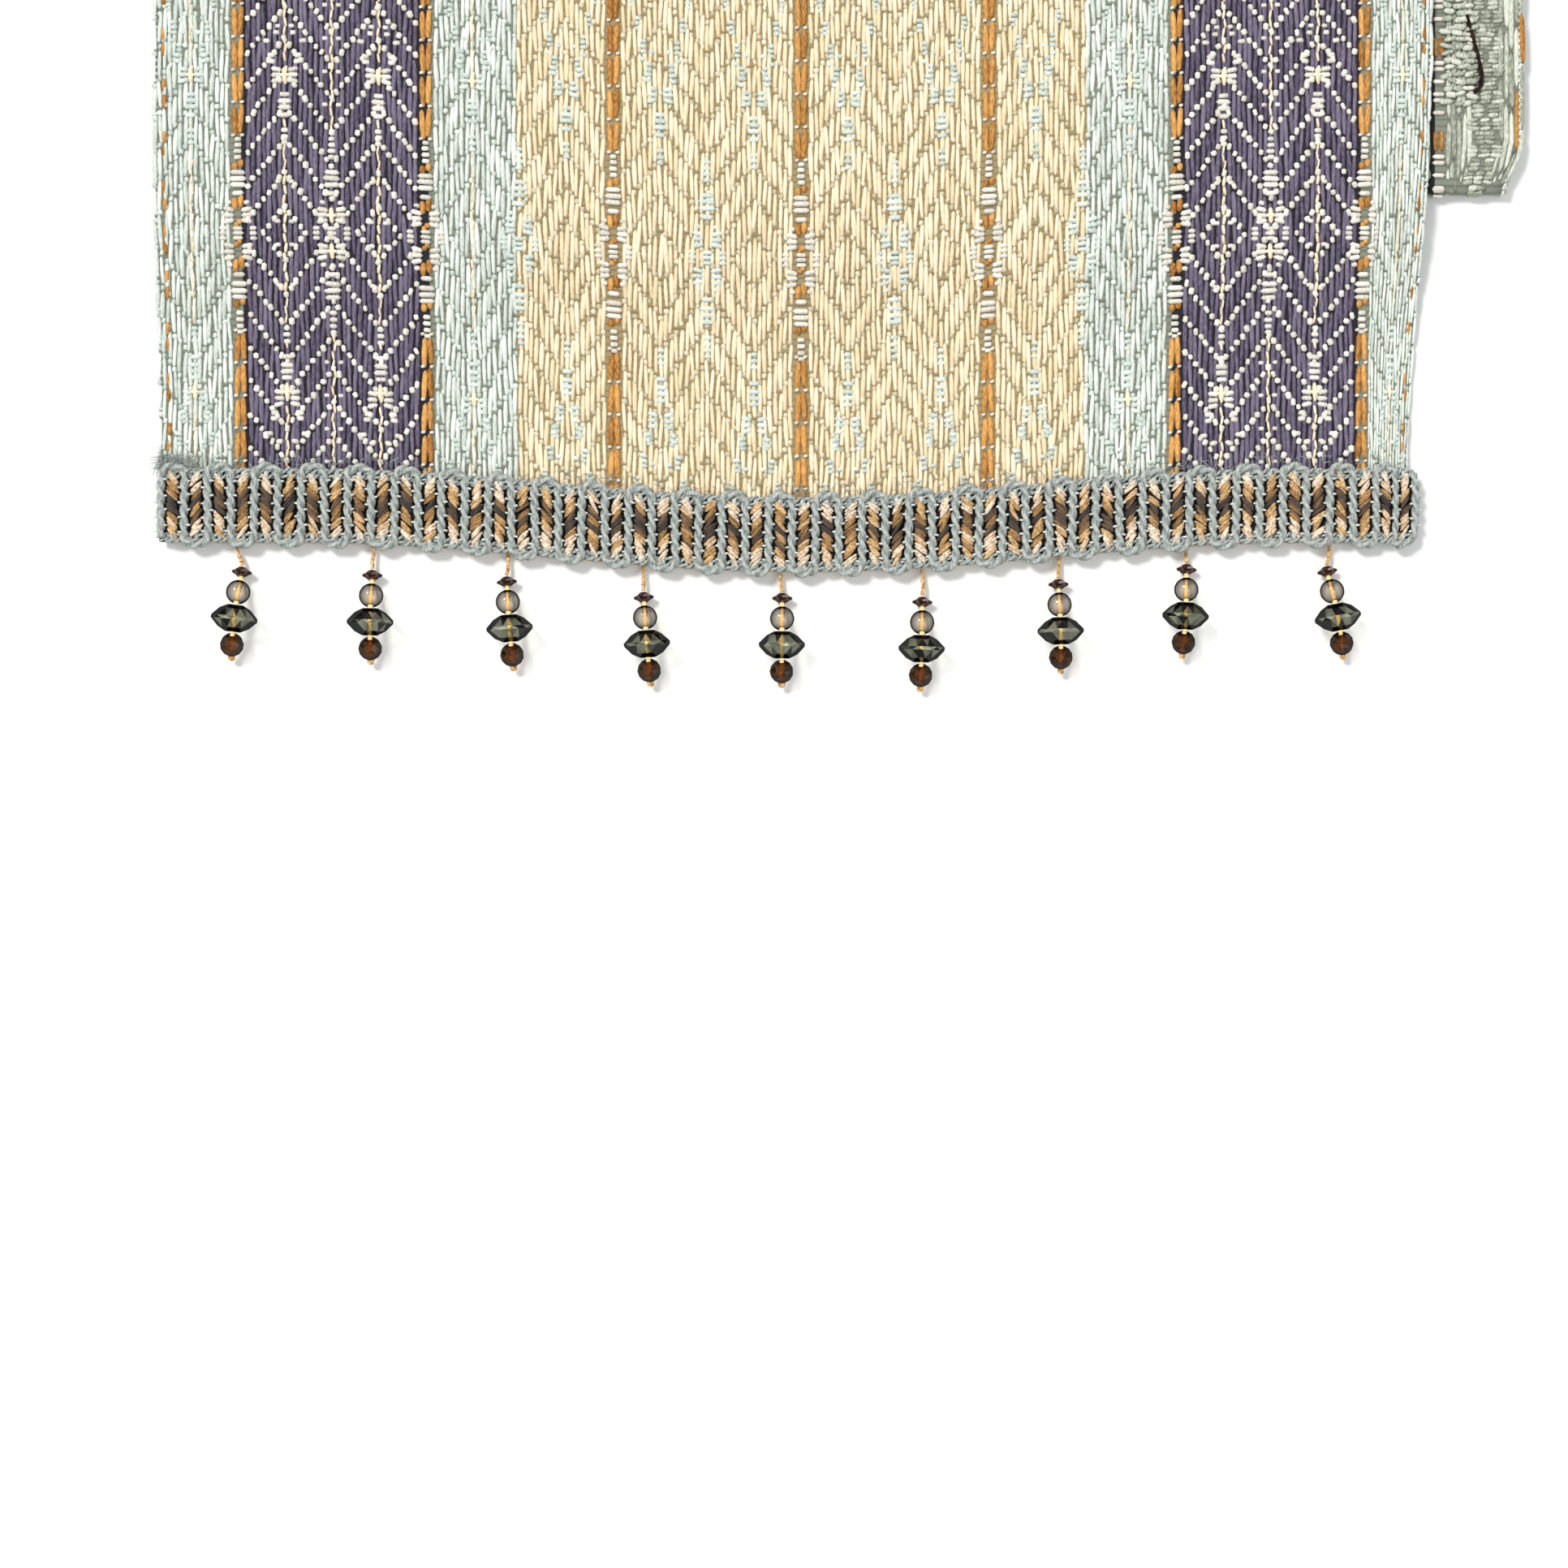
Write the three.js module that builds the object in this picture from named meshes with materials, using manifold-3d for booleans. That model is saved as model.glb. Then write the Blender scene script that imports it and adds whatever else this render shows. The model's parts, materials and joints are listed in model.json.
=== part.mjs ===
// A woven table runner with beaded ends, folded in three and lying face up on a table.
// Millimetres, +Z up. The trimmed front end points to -Y and the far end to +Y.
// The runner lies in three layers: the front panel on top, the middle panel under it with its back up,
// and the far panel at the bottom, whose end comes out past the upper fold.
import * as THREE from 'three';
import { mergeVertices } from 'three/addons/utils/BufferGeometryUtils.js';
import Module from 'manifold-3d';

const wasm = await Module();
wasm.setup();

// Cloth
const WIDTH = 356; // between the two selvages
const LENGTH = 1830; // end to end, unfolded
const CLOTH = 2.2; // thickness of the weave
const LAYER_GAP = 0.6; // air between two layers
const FAR_REACH = 49; // upper fold to the corners of the far end
const FOLD_SETBACK = 94; // front end to the outer edge of the lower fold
const FOLD_OFFSET = 20.8; // the two lower panels lie this far to the right at the lower fold
const FAR_OFFSET = 9; // and this far at the far end
const BOW = 8; // the middle of each end stands this far ahead of its corners
const BOW_HALF_WIDTH = 138; // and the bow fades out this far from the middle
const BORDER = 22; // width of the edge stripe, which takes up the pull of the trim
const END_PULL = 3.8; // how far the trim draws each selvage in
const CURL = 5; // how far the right selvage rolls in on the front panel
const RAMP_LENGTH = 44; // the front panel comes down to the table ahead of the lower fold over this length
const RAMP_CLEARANCE = 2; // and lies at its full height this far before the fold

// Gimp braid
const RIB_PITCH = 6.35;
const GIMP_HEIGHT = 22; // across the band, valley to valley
const GIMP_THICKNESS = 3.2;
const GIMP_DROP = 2.2; // the band hangs this far past the cloth
const GIMP_OVERHANG = 3.5; // and this far past each selvage
const SCALLOP = 1.2;

// Threads and beads
const STRAND_PITCH = 37.7;
const STRAND_COUNT = 9;
const THREAD_RADIUS = 0.4;
const THREAD_SIDES = 6;
const ROUND_RADIUS = 3.35;
const RONDELLE_RADIUS = 6.45;
const RONDELLE_HALF = 3.3;
const RONDELLE_TABLE = 1.7; // radius of its flat faces round the bore
const RONDELLE_GIRDLE = 0.6; // half the height of its rim
const END_RADIUS = 3.3;
const SPACER_RADIUS = 2.45;
const SPACER_WAIST = 1.6;
const SPACER_HALF = 1.3;
const SPACER_POINTS = 6;
const BORE_CLEARANCE = 0.42; // between a thread and a bead's bore, all round
const SEAT = 0.3; // between pieces that touch
const PIVOT_GAP = 0.2; // each thread stops this far from the pivot between them
const PIVOT_CLEARANCE = 0.45; // between the gimp and a thread that stands up beside it
const LOOP_LEAD = 0.35; // thread before its pivot
const SPACER_LEAD = 0.5; // thread that shows above the spacer
const GAPS = { round: 1.4, rondelle: 1, end: 1.1 }; // thread that shows above each bead
const RUNNING_TAIL = 4; // the running thread goes on past its first and last strand
const KNOT_RADIUS = 1.3;
const FACE_STEP = 0.05; // a bead's face, where it meets the thread in one piece
// Rise of the thread through each bead when the strand rests on the rim of its rondelle, in degrees
const RISE = { spacer: 14, round: 24, rondelle: 0, end: -28 };
// One row for each front strand: its place beside the even pitch, the length of thread that shows above
// it, and the directions in which that thread and the beads lie, in degrees to the right.
const FRONT_STRANDS = [
  { drift: 0, drop: 3.8, turn: 22, hang: -7 },
  { drift: -0.2, drop: 4.0, turn: -4, hang: -1 },
  { drift: -0.8, drop: 3.3, turn: -8, hang: 4.5 },
  { drift: -1.2, drop: 4.3, turn: 0, hang: 4.5 },
  { drift: -1, drop: 2.8, turn: 9, hang: -0.5 },
  { drift: 0.4, drop: 4.9, turn: 0, hang: -1.5 },
  { drift: 0.4, drop: 3.1, turn: -5, hang: 1.5 },
  { drift: -2.2, drop: 1.8, turn: 3, hang: -3 },
  { drift: -0.4, drop: 3.5, turn: -17, hang: 10.5 },
];
const FAR_DROP = 4; // the far strands lie almost straight
const FAR_LEAN = 5;

const rad = THREE.MathUtils.degToRad;
const BORE_RADIUS = THREAD_RADIUS + BORE_CLEARANCE;
const FOLD_RADIUS = (CLOTH + LAYER_GAP) / 2; // of the middle of the cloth
const TOP_Z = CLOTH / 2 + 4 * FOLD_RADIUS;
const RAMP_END = FOLD_SETBACK - RAMP_CLEARANCE;
const RAMP_START = RAMP_END - RAMP_LENGTH;
const LOWER_FOLD = FOLD_SETBACK + FOLD_RADIUS + CLOTH / 2;
const HALF_TURN = Math.PI * FOLD_RADIUS;
// The three panels and the two turns between them take up the whole length.
const FRONT_PANEL = (LENGTH + 2 * LOWER_FOLD - 2 * HALF_TURN - FAR_REACH) / 3;
const UPPER_FOLD = FRONT_PANEL;
const MIDDLE_START = FRONT_PANEL + HALF_TURN;
const MIDDLE_END = MIDDLE_START + UPPER_FOLD - LOWER_FOLD;
const FAR_START = MIDDLE_END + HALF_TURN;
const FAR_Y = LOWER_FOLD + LENGTH - FAR_START;

const material = (color, roughness, metalness = 0) =>
  new THREE.MeshStandardMaterial({ color, roughness, metalness });
const clothWeave = material(0xd9d3bd, 0.95);
const gimpCord = material(0x8c9a9c, 0.9);
const goldThread = material(0xc79a52, 0.6);
const spacerMetal = material(0x7a4a2c, 0.45, 0.6);
const clearGlass = material(0xa8a08c, 0.08);
const smokyGlass = material(0x5a5c4c, 0.08);
const brownGlass = material(0x4a3818, 0.08);

const root = new THREE.Group();
const runner = new THREE.Group();
root.add(runner);

function addPiece(parent, name, geometry, finish) {
  const mesh = new THREE.Mesh(geometry, finish);
  mesh.name = name;
  parent.add(mesh);
  return mesh;
}

// ---------- how the cloth lies ----------

const ease = (t) => {
  const s = THREE.MathUtils.clamp(t, 0, 1);
  return s * s * (3 - 2 * s);
};

// How far the end of the cloth bows out at a place across it.
function bowAt(across) {
  const share = Math.min(Math.abs(across) / BOW_HALF_WIDTH, 1);
  return (BOW * (1 + Math.cos(Math.PI * share))) / 2;
}

// Where the middle of the cloth lies at a distance along it: its place, and which way its face looks.
function lie(along) {
  if (along < FRONT_PANEL) {
    const t = (along - RAMP_START) / (RAMP_END - RAMP_START);
    const slope = t > 0 && t < 1 ? (6 * t * (1 - t) * 4 * FOLD_RADIUS) / (RAMP_END - RAMP_START) : 0;
    const length = Math.hypot(1, slope);
    const z = CLOTH / 2 + 4 * FOLD_RADIUS * ease(t);
    return { y: along, z, faceY: -slope / length, faceZ: 1 / length };
  }
  if (along < MIDDLE_START) {
    const turn = (along - FRONT_PANEL) / FOLD_RADIUS;
    const z = TOP_Z - FOLD_RADIUS * (1 - Math.cos(turn));
    return { y: UPPER_FOLD + FOLD_RADIUS * Math.sin(turn), z, faceY: Math.sin(turn), faceZ: Math.cos(turn) };
  }
  if (along < MIDDLE_END) {
    return { y: UPPER_FOLD - (along - MIDDLE_START), z: TOP_Z - 2 * FOLD_RADIUS, faceY: 0, faceZ: -1 };
  }
  if (along < FAR_START) {
    const turn = (along - MIDDLE_END) / FOLD_RADIUS;
    const z = TOP_Z - FOLD_RADIUS * (3 - Math.cos(turn));
    return { y: LOWER_FOLD - FOLD_RADIUS * Math.sin(turn), z, faceY: Math.sin(turn), faceZ: -Math.cos(turn) };
  }
  return { y: LOWER_FOLD + along - FAR_START, z: CLOTH / 2, faceY: 0, faceZ: 1 };
}

// How far the cloth has wandered to the right.
function offsetAt(along) {
  const out = ease((along - MIDDLE_START - 40) / (0.6 * (MIDDLE_END - MIDDLE_START)));
  const back = ease((along - FAR_START - 80) / (0.7 * (LENGTH - FAR_START)));
  return FOLD_OFFSET * out + (FAR_OFFSET - FOLD_OFFSET) * back;
}

// How far a selvage is drawn in: by the trim at each end, and by its curl on the right.
function drawnIn(side, along) {
  const fromEnd = Math.min(along, LENGTH - along);
  const curl = side > 0 ? CURL * (1 - ease((along - 380) / 200)) : 0;
  return END_PULL * (1 - ease(fromEnd / 140)) + curl;
}

function clothPoint(across, along, height) {
  const bowed = along - bowAt(across) * (1 - (2 * along) / LENGTH);
  const at = lie(bowed);
  const side = Math.sign(across);
  const intoBorder = Math.max(0, (Math.abs(across) - (WIDTH / 2 - BORDER)) / BORDER);
  const x = across + offsetAt(bowed) - side * drawnIn(side, bowed) * intoBorder;
  return [x, at.y + height * at.faceY, at.z + height * at.faceZ];
}

function edgeX(side, along) {
  return clothPoint((side * WIDTH) / 2, along, 0)[0];
}

// ---------- solids ----------

function indexed(positions, triangles) {
  const geometry = new THREE.BufferGeometry();
  geometry.setAttribute('position', new THREE.Float32BufferAttribute(positions, 3));
  geometry.setIndex(triangles);
  return geometry;
}

// A closed bar from rings of points, each ring going the same way round.
function closedBar(rings) {
  const around = rings[0].length;
  const triangles = [];
  for (let i = 0; i + 1 < rings.length; i++) {
    for (let j = 0; j < around; j++) {
      const a = i * around + j;
      const b = i * around + ((j + 1) % around);
      triangles.push(a, b, b + around, a, b + around, a + around);
    }
  }
  const cap = (first, flip) => {
    // a cap is a strip between the two halves of the ring
    for (let j = 0; j + 1 < around / 2; j++) {
      const a = first + j;
      const d = first + around - 1 - j;
      const quad = flip ? [a, d, d - 1, a, d - 1, a + 1] : [a, d - 1, d, a, a + 1, d - 1];
      triangles.push(...quad);
    }
  };
  cap(0, true);
  cap((rings.length - 1) * around, false);
  return indexed(rings.flat(2), triangles);
}

const spread = (from, to, count) =>
  Array.from({ length: count + 1 }, (_, i) => from + ((to - from) * i) / count);

function clothSolid() {
  const across = spread(-WIDTH / 2, WIDTH / 2, 12);
  // rows lie close together only where the cloth bends
  const along = [
    ...spread(0, RAMP_START, 1),
    ...spread(RAMP_START, RAMP_END + BOW, 8).slice(1),
    ...spread(RAMP_END + BOW, FRONT_PANEL, 5).slice(1),
    ...spread(FRONT_PANEL, MIDDLE_START, 5).slice(1),
    ...spread(MIDDLE_START, MIDDLE_END, 8).slice(1),
    ...spread(MIDDLE_END, FAR_START, 5).slice(1),
    ...spread(FAR_START, LENGTH, 7).slice(1),
  ];
  const rings = along.map((v) => [
    ...across.map((u) => clothPoint(u, bendFree(u, v), -CLOTH / 2)),
    ...across.toReversed().map((u) => clothPoint(u, bendFree(u, v), CLOTH / 2)),
  ]);
  return closedBar(rings.map((ring) => ring.toReversed()));
}

// The distance along the cloth whose bowed place is the one wanted, so that folds stay straight;
// the two ends keep their bow.
function bendFree(across, along) {
  const share = Math.min(1, along / RAMP_START, (LENGTH - along) / RAMP_START);
  const bow = bowAt(across) * share;
  return (along + bow) / (1 + (2 * bow) / LENGTH);
}

// A gimp band on the face of the cloth. Its two long edges are scalloped, half a scallop out of step.
// sign is -1 at the front end and 1 at the far end, and endY is the corner of the cloth there.
function gimpSolid(left, right, sign, endY, centreX) {
  const ribs = Math.round((right - left) / RIB_PITCH);
  const z = CLOTH + SEAT;
  const rings = spread(0, ribs, 2 * ribs).map((rib) => {
    const x = left + ((right - left) * rib) / ribs;
    const outer = endY + sign * (bowAt(x - centreX) + GIMP_DROP);
    const outerScallop = SCALLOP * Math.abs(Math.sin((Math.PI * rib) / 2));
    const innerScallop = SCALLOP * Math.abs(Math.cos((Math.PI * rib) / 2));
    const y0 = outer + sign * outerScallop;
    const y1 = outer - sign * (GIMP_HEIGHT + innerScallop);
    const [low, high] = sign < 0 ? [y0, y1] : [y1, y0];
    return [
      [x, low, z],
      [x, low, z + GIMP_THICKNESS],
      [x, high, z + GIMP_THICKNESS],
      [x, high, z],
    ];
  });
  return closedBar(rings.map((ring) => ring.toReversed()));
}

// A route that a tube follows from point to point, bending only at the points.
class ThreadRoute extends THREE.Curve {
  constructor(points) {
    super();
    this.points = points.map((p) => new THREE.Vector3(...p));
  }
  getPoint(t, target = new THREE.Vector3()) {
    const last = this.points.length - 1;
    const i = Math.min(Math.floor(t * last + 1e-6), last - 1);
    return target.copy(this.points[i]).lerp(this.points[i + 1], t * last - i);
  }
  getTangent(t, target = new THREE.Vector3()) {
    const last = this.points.length - 1;
    const i = Math.round(t * last);
    return target.subVectors(this.points[Math.min(i + 1, last)], this.points[Math.max(i - 1, 0)]).normalize();
  }
  getPointAt(u, target) {
    return this.getPoint(u, target);
  }
  getTangentAt(u, target) {
    return this.getTangent(u, target);
  }
}

function threadTube(points) {
  const section = new THREE.Shape();
  for (let i = 0; i < THREAD_SIDES; i++) {
    const angle = (2 * Math.PI * i) / THREAD_SIDES;
    const [x, y] = [THREAD_RADIUS * Math.cos(angle), THREAD_RADIUS * Math.sin(angle)];
    if (i) section.lineTo(x, y);
    else section.moveTo(x, y);
  }
  const route = new ThreadRoute(points);
  return new THREE.ExtrudeGeometry(section, { steps: points.length - 1, extrudePath: route });
}

// Half a bead's outline from one face to the other, as [radius, height], closed through its bore.
function bead(outline, bore, segments) {
  const half = outline.at(-1)[1];
  const points = [[bore, -half], ...outline, [bore, half], [bore, -half]];
  return new THREE.LatheGeometry(points.map(([r, h]) => new THREE.Vector2(r, h)), segments);
}

function ballOutline(radius, opening, steps) {
  const first = Math.asin(opening / radius);
  return spread(first, Math.PI - first, steps).map((a) => [radius * Math.sin(a), -radius * Math.cos(a)]);
}

const rondelleOutline = [
  [RONDELLE_TABLE, -RONDELLE_HALF],
  [RONDELLE_RADIUS, -RONDELLE_GIRDLE],
  [RONDELLE_RADIUS, RONDELLE_GIRDLE],
  [RONDELLE_TABLE, RONDELLE_HALF],
];
const roundBead = (bore) => bead(ballOutline(ROUND_RADIUS, 1.2, 5), bore, 10);
const rondelleBead = (bore) => bead(rondelleOutline, bore, 12);
const endBead = (bore) => bead(ballOutline(END_RADIUS, 1.3, 4), bore, 8);

function spacerBead(bore) {
  const star = new THREE.Shape();
  for (let i = 0; i < 2 * SPACER_POINTS; i++) {
    const angle = (Math.PI * i) / SPACER_POINTS;
    const radius = i % 2 ? SPACER_WAIST : SPACER_RADIUS;
    const [x, y] = [radius * Math.cos(angle), radius * Math.sin(angle)];
    if (i) star.lineTo(x, y);
    else star.moveTo(x, y);
  }
  star.holes.push(new THREE.Path().absarc(0, 0, bore, 0, 2 * Math.PI, true));
  const options = { depth: 2 * SPACER_HALF, bevelEnabled: false, curveSegments: 6 };
  const geometry = new THREE.ExtrudeGeometry(star, options);
  return geometry.translate(0, 0, -SPACER_HALF).rotateX(Math.PI / 2);
}

// The beads of a strand from the top down: how far each stands along the thread and how it rises.
const BEADS = [
  { name: 'spacer', half: SPACER_HALF, above: SPACER_LEAD },
  { name: 'round', half: ROUND_RADIUS, above: GAPS.round },
  { name: 'rondelle', half: RONDELLE_HALF, above: GAPS.rondelle },
  { name: 'end', half: END_RADIUS, above: GAPS.end },
];

// Walks down the thread in its own upright plane. The thread bends halfway along each gap.
function walkStrand() {
  const places = {};
  const bends = [];
  const at = { y: 0, z: 0 };
  const step = (length, rise) => {
    at.y -= length * Math.cos(rad(rise));
    at.z += length * Math.sin(rad(rise));
  };
  BEADS.forEach(({ name, half, above }, i) => {
    if (i) step(above / 2, RISE[BEADS[i - 1].name]);
    if (i) bends.push([0, at.y, at.z]);
    step(i ? above / 2 + half : above + half, RISE[name]);
    places[name] = { ...at };
    step(half, RISE[name]);
  });
  step(KNOT_RADIUS * 0.6, RISE.end);
  return { places, bends, tail: [0, at.y, at.z] };
}

const strandWalk = walkStrand();
const RONDELLE_Z = RONDELLE_RADIUS + 0.05; // it stands on its rim
const PIVOT_Z = RONDELLE_Z - strandWalk.places.rondelle.z;
const THREAD_Z = CLOTH - THREAD_RADIUS; // the running thread lies just under the gimp
// How far the running thread, the pivots and the ends of its stubs stand out from the end of the cloth
const RUNNING_OUT = THREAD_RADIUS + 0.5;
const EXIT_OUT = GIMP_DROP + SCALLOP + THREAD_RADIUS + PIVOT_CLEARANCE;
const STUB_END = EXIT_OUT - THREAD_RADIUS - SEAT;

function toManifold(geometry) {
  const bare = geometry.clone();
  bare.deleteAttribute('normal');
  bare.deleteAttribute('uv');
  const merged = mergeVertices(bare, 1e-4);
  return new wasm.Manifold(
    new wasm.Mesh({
      numProp: 3,
      vertProperties: new Float32Array(merged.attributes.position.array),
      triVerts: new Uint32Array(merged.index.array),
    }),
  );
}

function joined(geometries) {
  const solid = geometries.map(toManifold).reduce((a, b) => a.add(b));
  const mesh = solid.getMesh();
  return indexed([...mesh.vertProperties], [...mesh.triVerts]);
}

function knotGeometry() {
  const [, y, z] = strandWalk.tail;
  return new THREE.SphereGeometry(KNOT_RADIUS, 6, 4).translate(0, y, z);
}

function coreThread() {
  const start = [0, -PIVOT_GAP * Math.cos(rad(RISE.spacer)), PIVOT_GAP * Math.sin(rad(RISE.spacer))];
  const tube = threadTube([start, ...strandWalk.bends, strandWalk.tail]);
  return joined([tube, knotGeometry()]);
}

function loopThread(drop) {
  const rise = PIVOT_Z - THREAD_Z;
  const length = drop - PIVOT_GAP;
  const high = (rise * length) / drop;
  return threadTube([
    [0, LOOP_LEAD, 0],
    [0, -length / 2, high / 2],
    [0, -length, high],
  ]);
}

// The thread that runs under the edge of the gimp, from before the first strand to past the last.
function runningThread(strandXs, sign, endY, centreX) {
  const line = spread(strandXs[0] - RUNNING_TAIL, strandXs.at(-1) + RUNNING_TAIL, 20).map((x) => {
    const y = endY + sign * (bowAt(x - centreX) + RUNNING_OUT);
    return [x, y, THREAD_Z];
  });
  return threadTube(line);
}

// The short length by which it comes out at a front strand.
function threadStub(x) {
  const out = (distance) => [x, -bowAt(x) - distance, THREAD_Z];
  return threadTube([out(RUNNING_OUT), out(STUB_END)]);
}

// ---------- the pieces, in the order in which they are sewn ----------

addPiece(runner, 'runner_cloth', clothSolid(), clothWeave);

const frontEdges = [edgeX(-1, 0) - GIMP_OVERHANG, edgeX(1, 0) + GIMP_OVERHANG];
addPiece(runner, 'front_gimp', gimpSolid(...frontEdges, -1, 0, 0), gimpCord);

const strandX = (i, drift = 0) => STRAND_PITCH * (i - (STRAND_COUNT - 1) / 2) - 4.6 + drift;
const frontXs = FRONT_STRANDS.map(({ drift }, i) => strandX(i, drift));
const frontThread = joined([runningThread(frontXs, -1, 0, 0), ...frontXs.map(threadStub)]);
addPiece(runner, 'front_running_thread', frontThread, goldThread);

FRONT_STRANDS.forEach(({ drop, turn, hang }, i) => {
  const number = i + 1;
  const strand = new THREE.Group();
  strand.name = `strand_${number}`;
  strand.position.set(frontXs[i], -bowAt(frontXs[i]) - EXIT_OUT, THREAD_Z);
  strand.rotation.z = rad(turn);
  runner.add(strand);
  addPiece(strand, `thread_loop_${number}`, loopThread(drop), goldThread);

  const beads = new THREE.Group();
  beads.name = `hang_${number}`;
  beads.position.set(0, -drop, PIVOT_Z - THREAD_Z);
  beads.rotation.z = rad(hang - turn);
  strand.add(beads);
  addPiece(beads, `core_thread_${number}`, coreThread(), goldThread);
  const make = {
    spacer: [`star_spacer_${number}`, spacerBead(BORE_RADIUS), spacerMetal],
    round: [`round_bead_${number}`, roundBead(BORE_RADIUS), clearGlass],
    rondelle: [`rondelle_${number}`, rondelleBead(BORE_RADIUS), smokyGlass],
    end: [`end_bead_${number}`, endBead(BORE_RADIUS), brownGlass],
  };
  for (const [place, piece] of Object.entries(make)) {
    const mesh = addPiece(beads, ...piece);
    mesh.position.set(0, strandWalk.places[place].y, strandWalk.places[place].z);
    mesh.rotation.x = -rad(RISE[place]);
  }
});

// The far end: its gimp, and its nine strands in one piece with their running thread.
const farX = (edgeX(-1, LENGTH) + edgeX(1, LENGTH)) / 2;
const farEdges = [edgeX(-1, LENGTH) - GIMP_OVERHANG, edgeX(1, LENGTH) + GIMP_OVERHANG];
addPiece(runner, 'far_gimp', gimpSolid(...farEdges, 1, FAR_Y, farX), gimpCord);

// A whole strand turned in one piece: its outline down the thread, from the gimp to the knot.
function strandOutline(lead) {
  const outlines = {
    spacer: [[SPACER_RADIUS, -SPACER_HALF], [SPACER_RADIUS, SPACER_HALF]],
    round: ballOutline(ROUND_RADIUS, THREAD_RADIUS, 3),
    rondelle: rondelleOutline,
    end: ballOutline(END_RADIUS, THREAD_RADIUS, 3),
  };
  const points = [[0, -lead], [THREAD_RADIUS, -lead], [THREAD_RADIUS, -FAR_DROP]];
  let along = 0;
  BEADS.forEach(({ name, half, above }, i) => {
    if (i) points.push([THREAD_RADIUS, along + above / 2]);
    else points.push([THREAD_RADIUS, 0]);
    along += above + half;
    points.push([THREAD_RADIUS, along - half - FACE_STEP]);
    points.push(...outlines[name].map(([r, h]) => [r, along + h]));
    points.push([THREAD_RADIUS, along + half + FACE_STEP]);
    along += half;
  });
  points.push([KNOT_RADIUS, along + KNOT_RADIUS], [0, along + 1.5 * KNOT_RADIUS]);
  return points.map(([r, h]) => new THREE.Vector2(r, h));
}

// Lays a turned strand along the path of a resting one. Each stretch stays straight, and bends in its gap.
function layStrand(geometry, lead) {
  const climb = Math.asin((PIVOT_Z - THREAD_Z) / FAR_DROP);
  const run = FAR_DROP * Math.cos(climb);
  const stretches = [{ from: -lead, y: run + lead - FAR_DROP, z: THREAD_Z - PIVOT_Z, rise: 0 }];
  stretches.push({ from: -FAR_DROP, y: run, z: THREAD_Z - PIVOT_Z, rise: climb });
  stretches.push({ from: 0, y: 0, z: 0, rise: rad(RISE.spacer) });
  let along = SPACER_LEAD + 2 * SPACER_HALF;
  BEADS.slice(1).forEach(({ name, half, above }, i) => {
    const [, y, z] = strandWalk.bends[i];
    stretches.push({ from: along + above / 2, y, z, rise: rad(RISE[name]) });
    along += above + 2 * half;
  });
  const position = geometry.attributes.position;
  for (let i = 0; i < position.count; i++) {
    const s = position.getY(i);
    const up = position.getZ(i);
    const { from, y, z, rise } = stretches.findLast((stretch) => s >= stretch.from - 1e-4);
    const [cos, sin] = [Math.cos(rise), Math.sin(rise)];
    position.setX(i, -position.getX(i));
    position.setY(i, y - (s - from) * cos + up * sin + FAR_DROP - run);
    position.setZ(i, z + (s - from) * sin + up * cos);
  }
  return geometry;
}

function farStrand(x, lean) {
  const lead = FAR_DROP + EXIT_OUT - RUNNING_OUT;
  const turned = new THREE.LatheGeometry(strandOutline(lead), 6);
  const start = FAR_Y + bowAt(x - farX) + RUNNING_OUT;
  const toPlace = new THREE.Matrix4()
    .makeTranslation(x, start, 0)
    .multiply(new THREE.Matrix4().makeRotationZ(Math.PI + rad(lean)))
    .multiply(new THREE.Matrix4().makeTranslation(0, -lead, PIVOT_Z));
  return layStrand(turned, lead).applyMatrix4(toPlace);
}

const farXs = spread(-4, 4, STRAND_COUNT - 1).map((n) => farX + STRAND_PITCH * n);
const farSolids = farXs.map((x, i) => farStrand(x, FAR_LEAN * Math.sin(2.1 * i)));
const farThread = runningThread(farXs, 1, FAR_Y, farX);
addPiece(runner, 'far_bead_strands', joined([farThread, ...farSolids]), smokyGlass);

// The origin stands under the middle of the whole piece, on the table.
root.updateMatrixWorld(true);
const box = new THREE.Box3().setFromObject(root, true);
runner.position.set(-(box.min.x + box.max.x) / 2, -(box.min.y + box.max.y) / 2, -box.min.z);

export default root;
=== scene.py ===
import collections
import json
import math

import bpy
import numpy as np
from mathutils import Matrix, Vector


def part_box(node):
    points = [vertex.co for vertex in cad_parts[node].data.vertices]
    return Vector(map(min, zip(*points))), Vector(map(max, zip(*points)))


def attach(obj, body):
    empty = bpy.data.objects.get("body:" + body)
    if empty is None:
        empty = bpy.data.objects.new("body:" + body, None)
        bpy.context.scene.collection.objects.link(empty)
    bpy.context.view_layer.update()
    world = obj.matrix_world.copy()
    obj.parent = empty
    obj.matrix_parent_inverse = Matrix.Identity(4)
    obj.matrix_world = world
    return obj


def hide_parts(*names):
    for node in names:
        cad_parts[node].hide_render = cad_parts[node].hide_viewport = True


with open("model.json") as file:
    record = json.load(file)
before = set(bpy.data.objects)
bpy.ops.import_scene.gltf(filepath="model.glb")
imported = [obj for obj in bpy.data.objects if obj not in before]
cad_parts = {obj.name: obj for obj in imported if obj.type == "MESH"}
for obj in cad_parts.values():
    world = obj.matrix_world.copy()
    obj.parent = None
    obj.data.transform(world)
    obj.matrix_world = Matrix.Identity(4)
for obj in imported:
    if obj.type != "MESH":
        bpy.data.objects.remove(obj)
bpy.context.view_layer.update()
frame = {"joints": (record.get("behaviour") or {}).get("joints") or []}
joints = {j["name"]: j for j in frame["joints"]}

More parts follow.
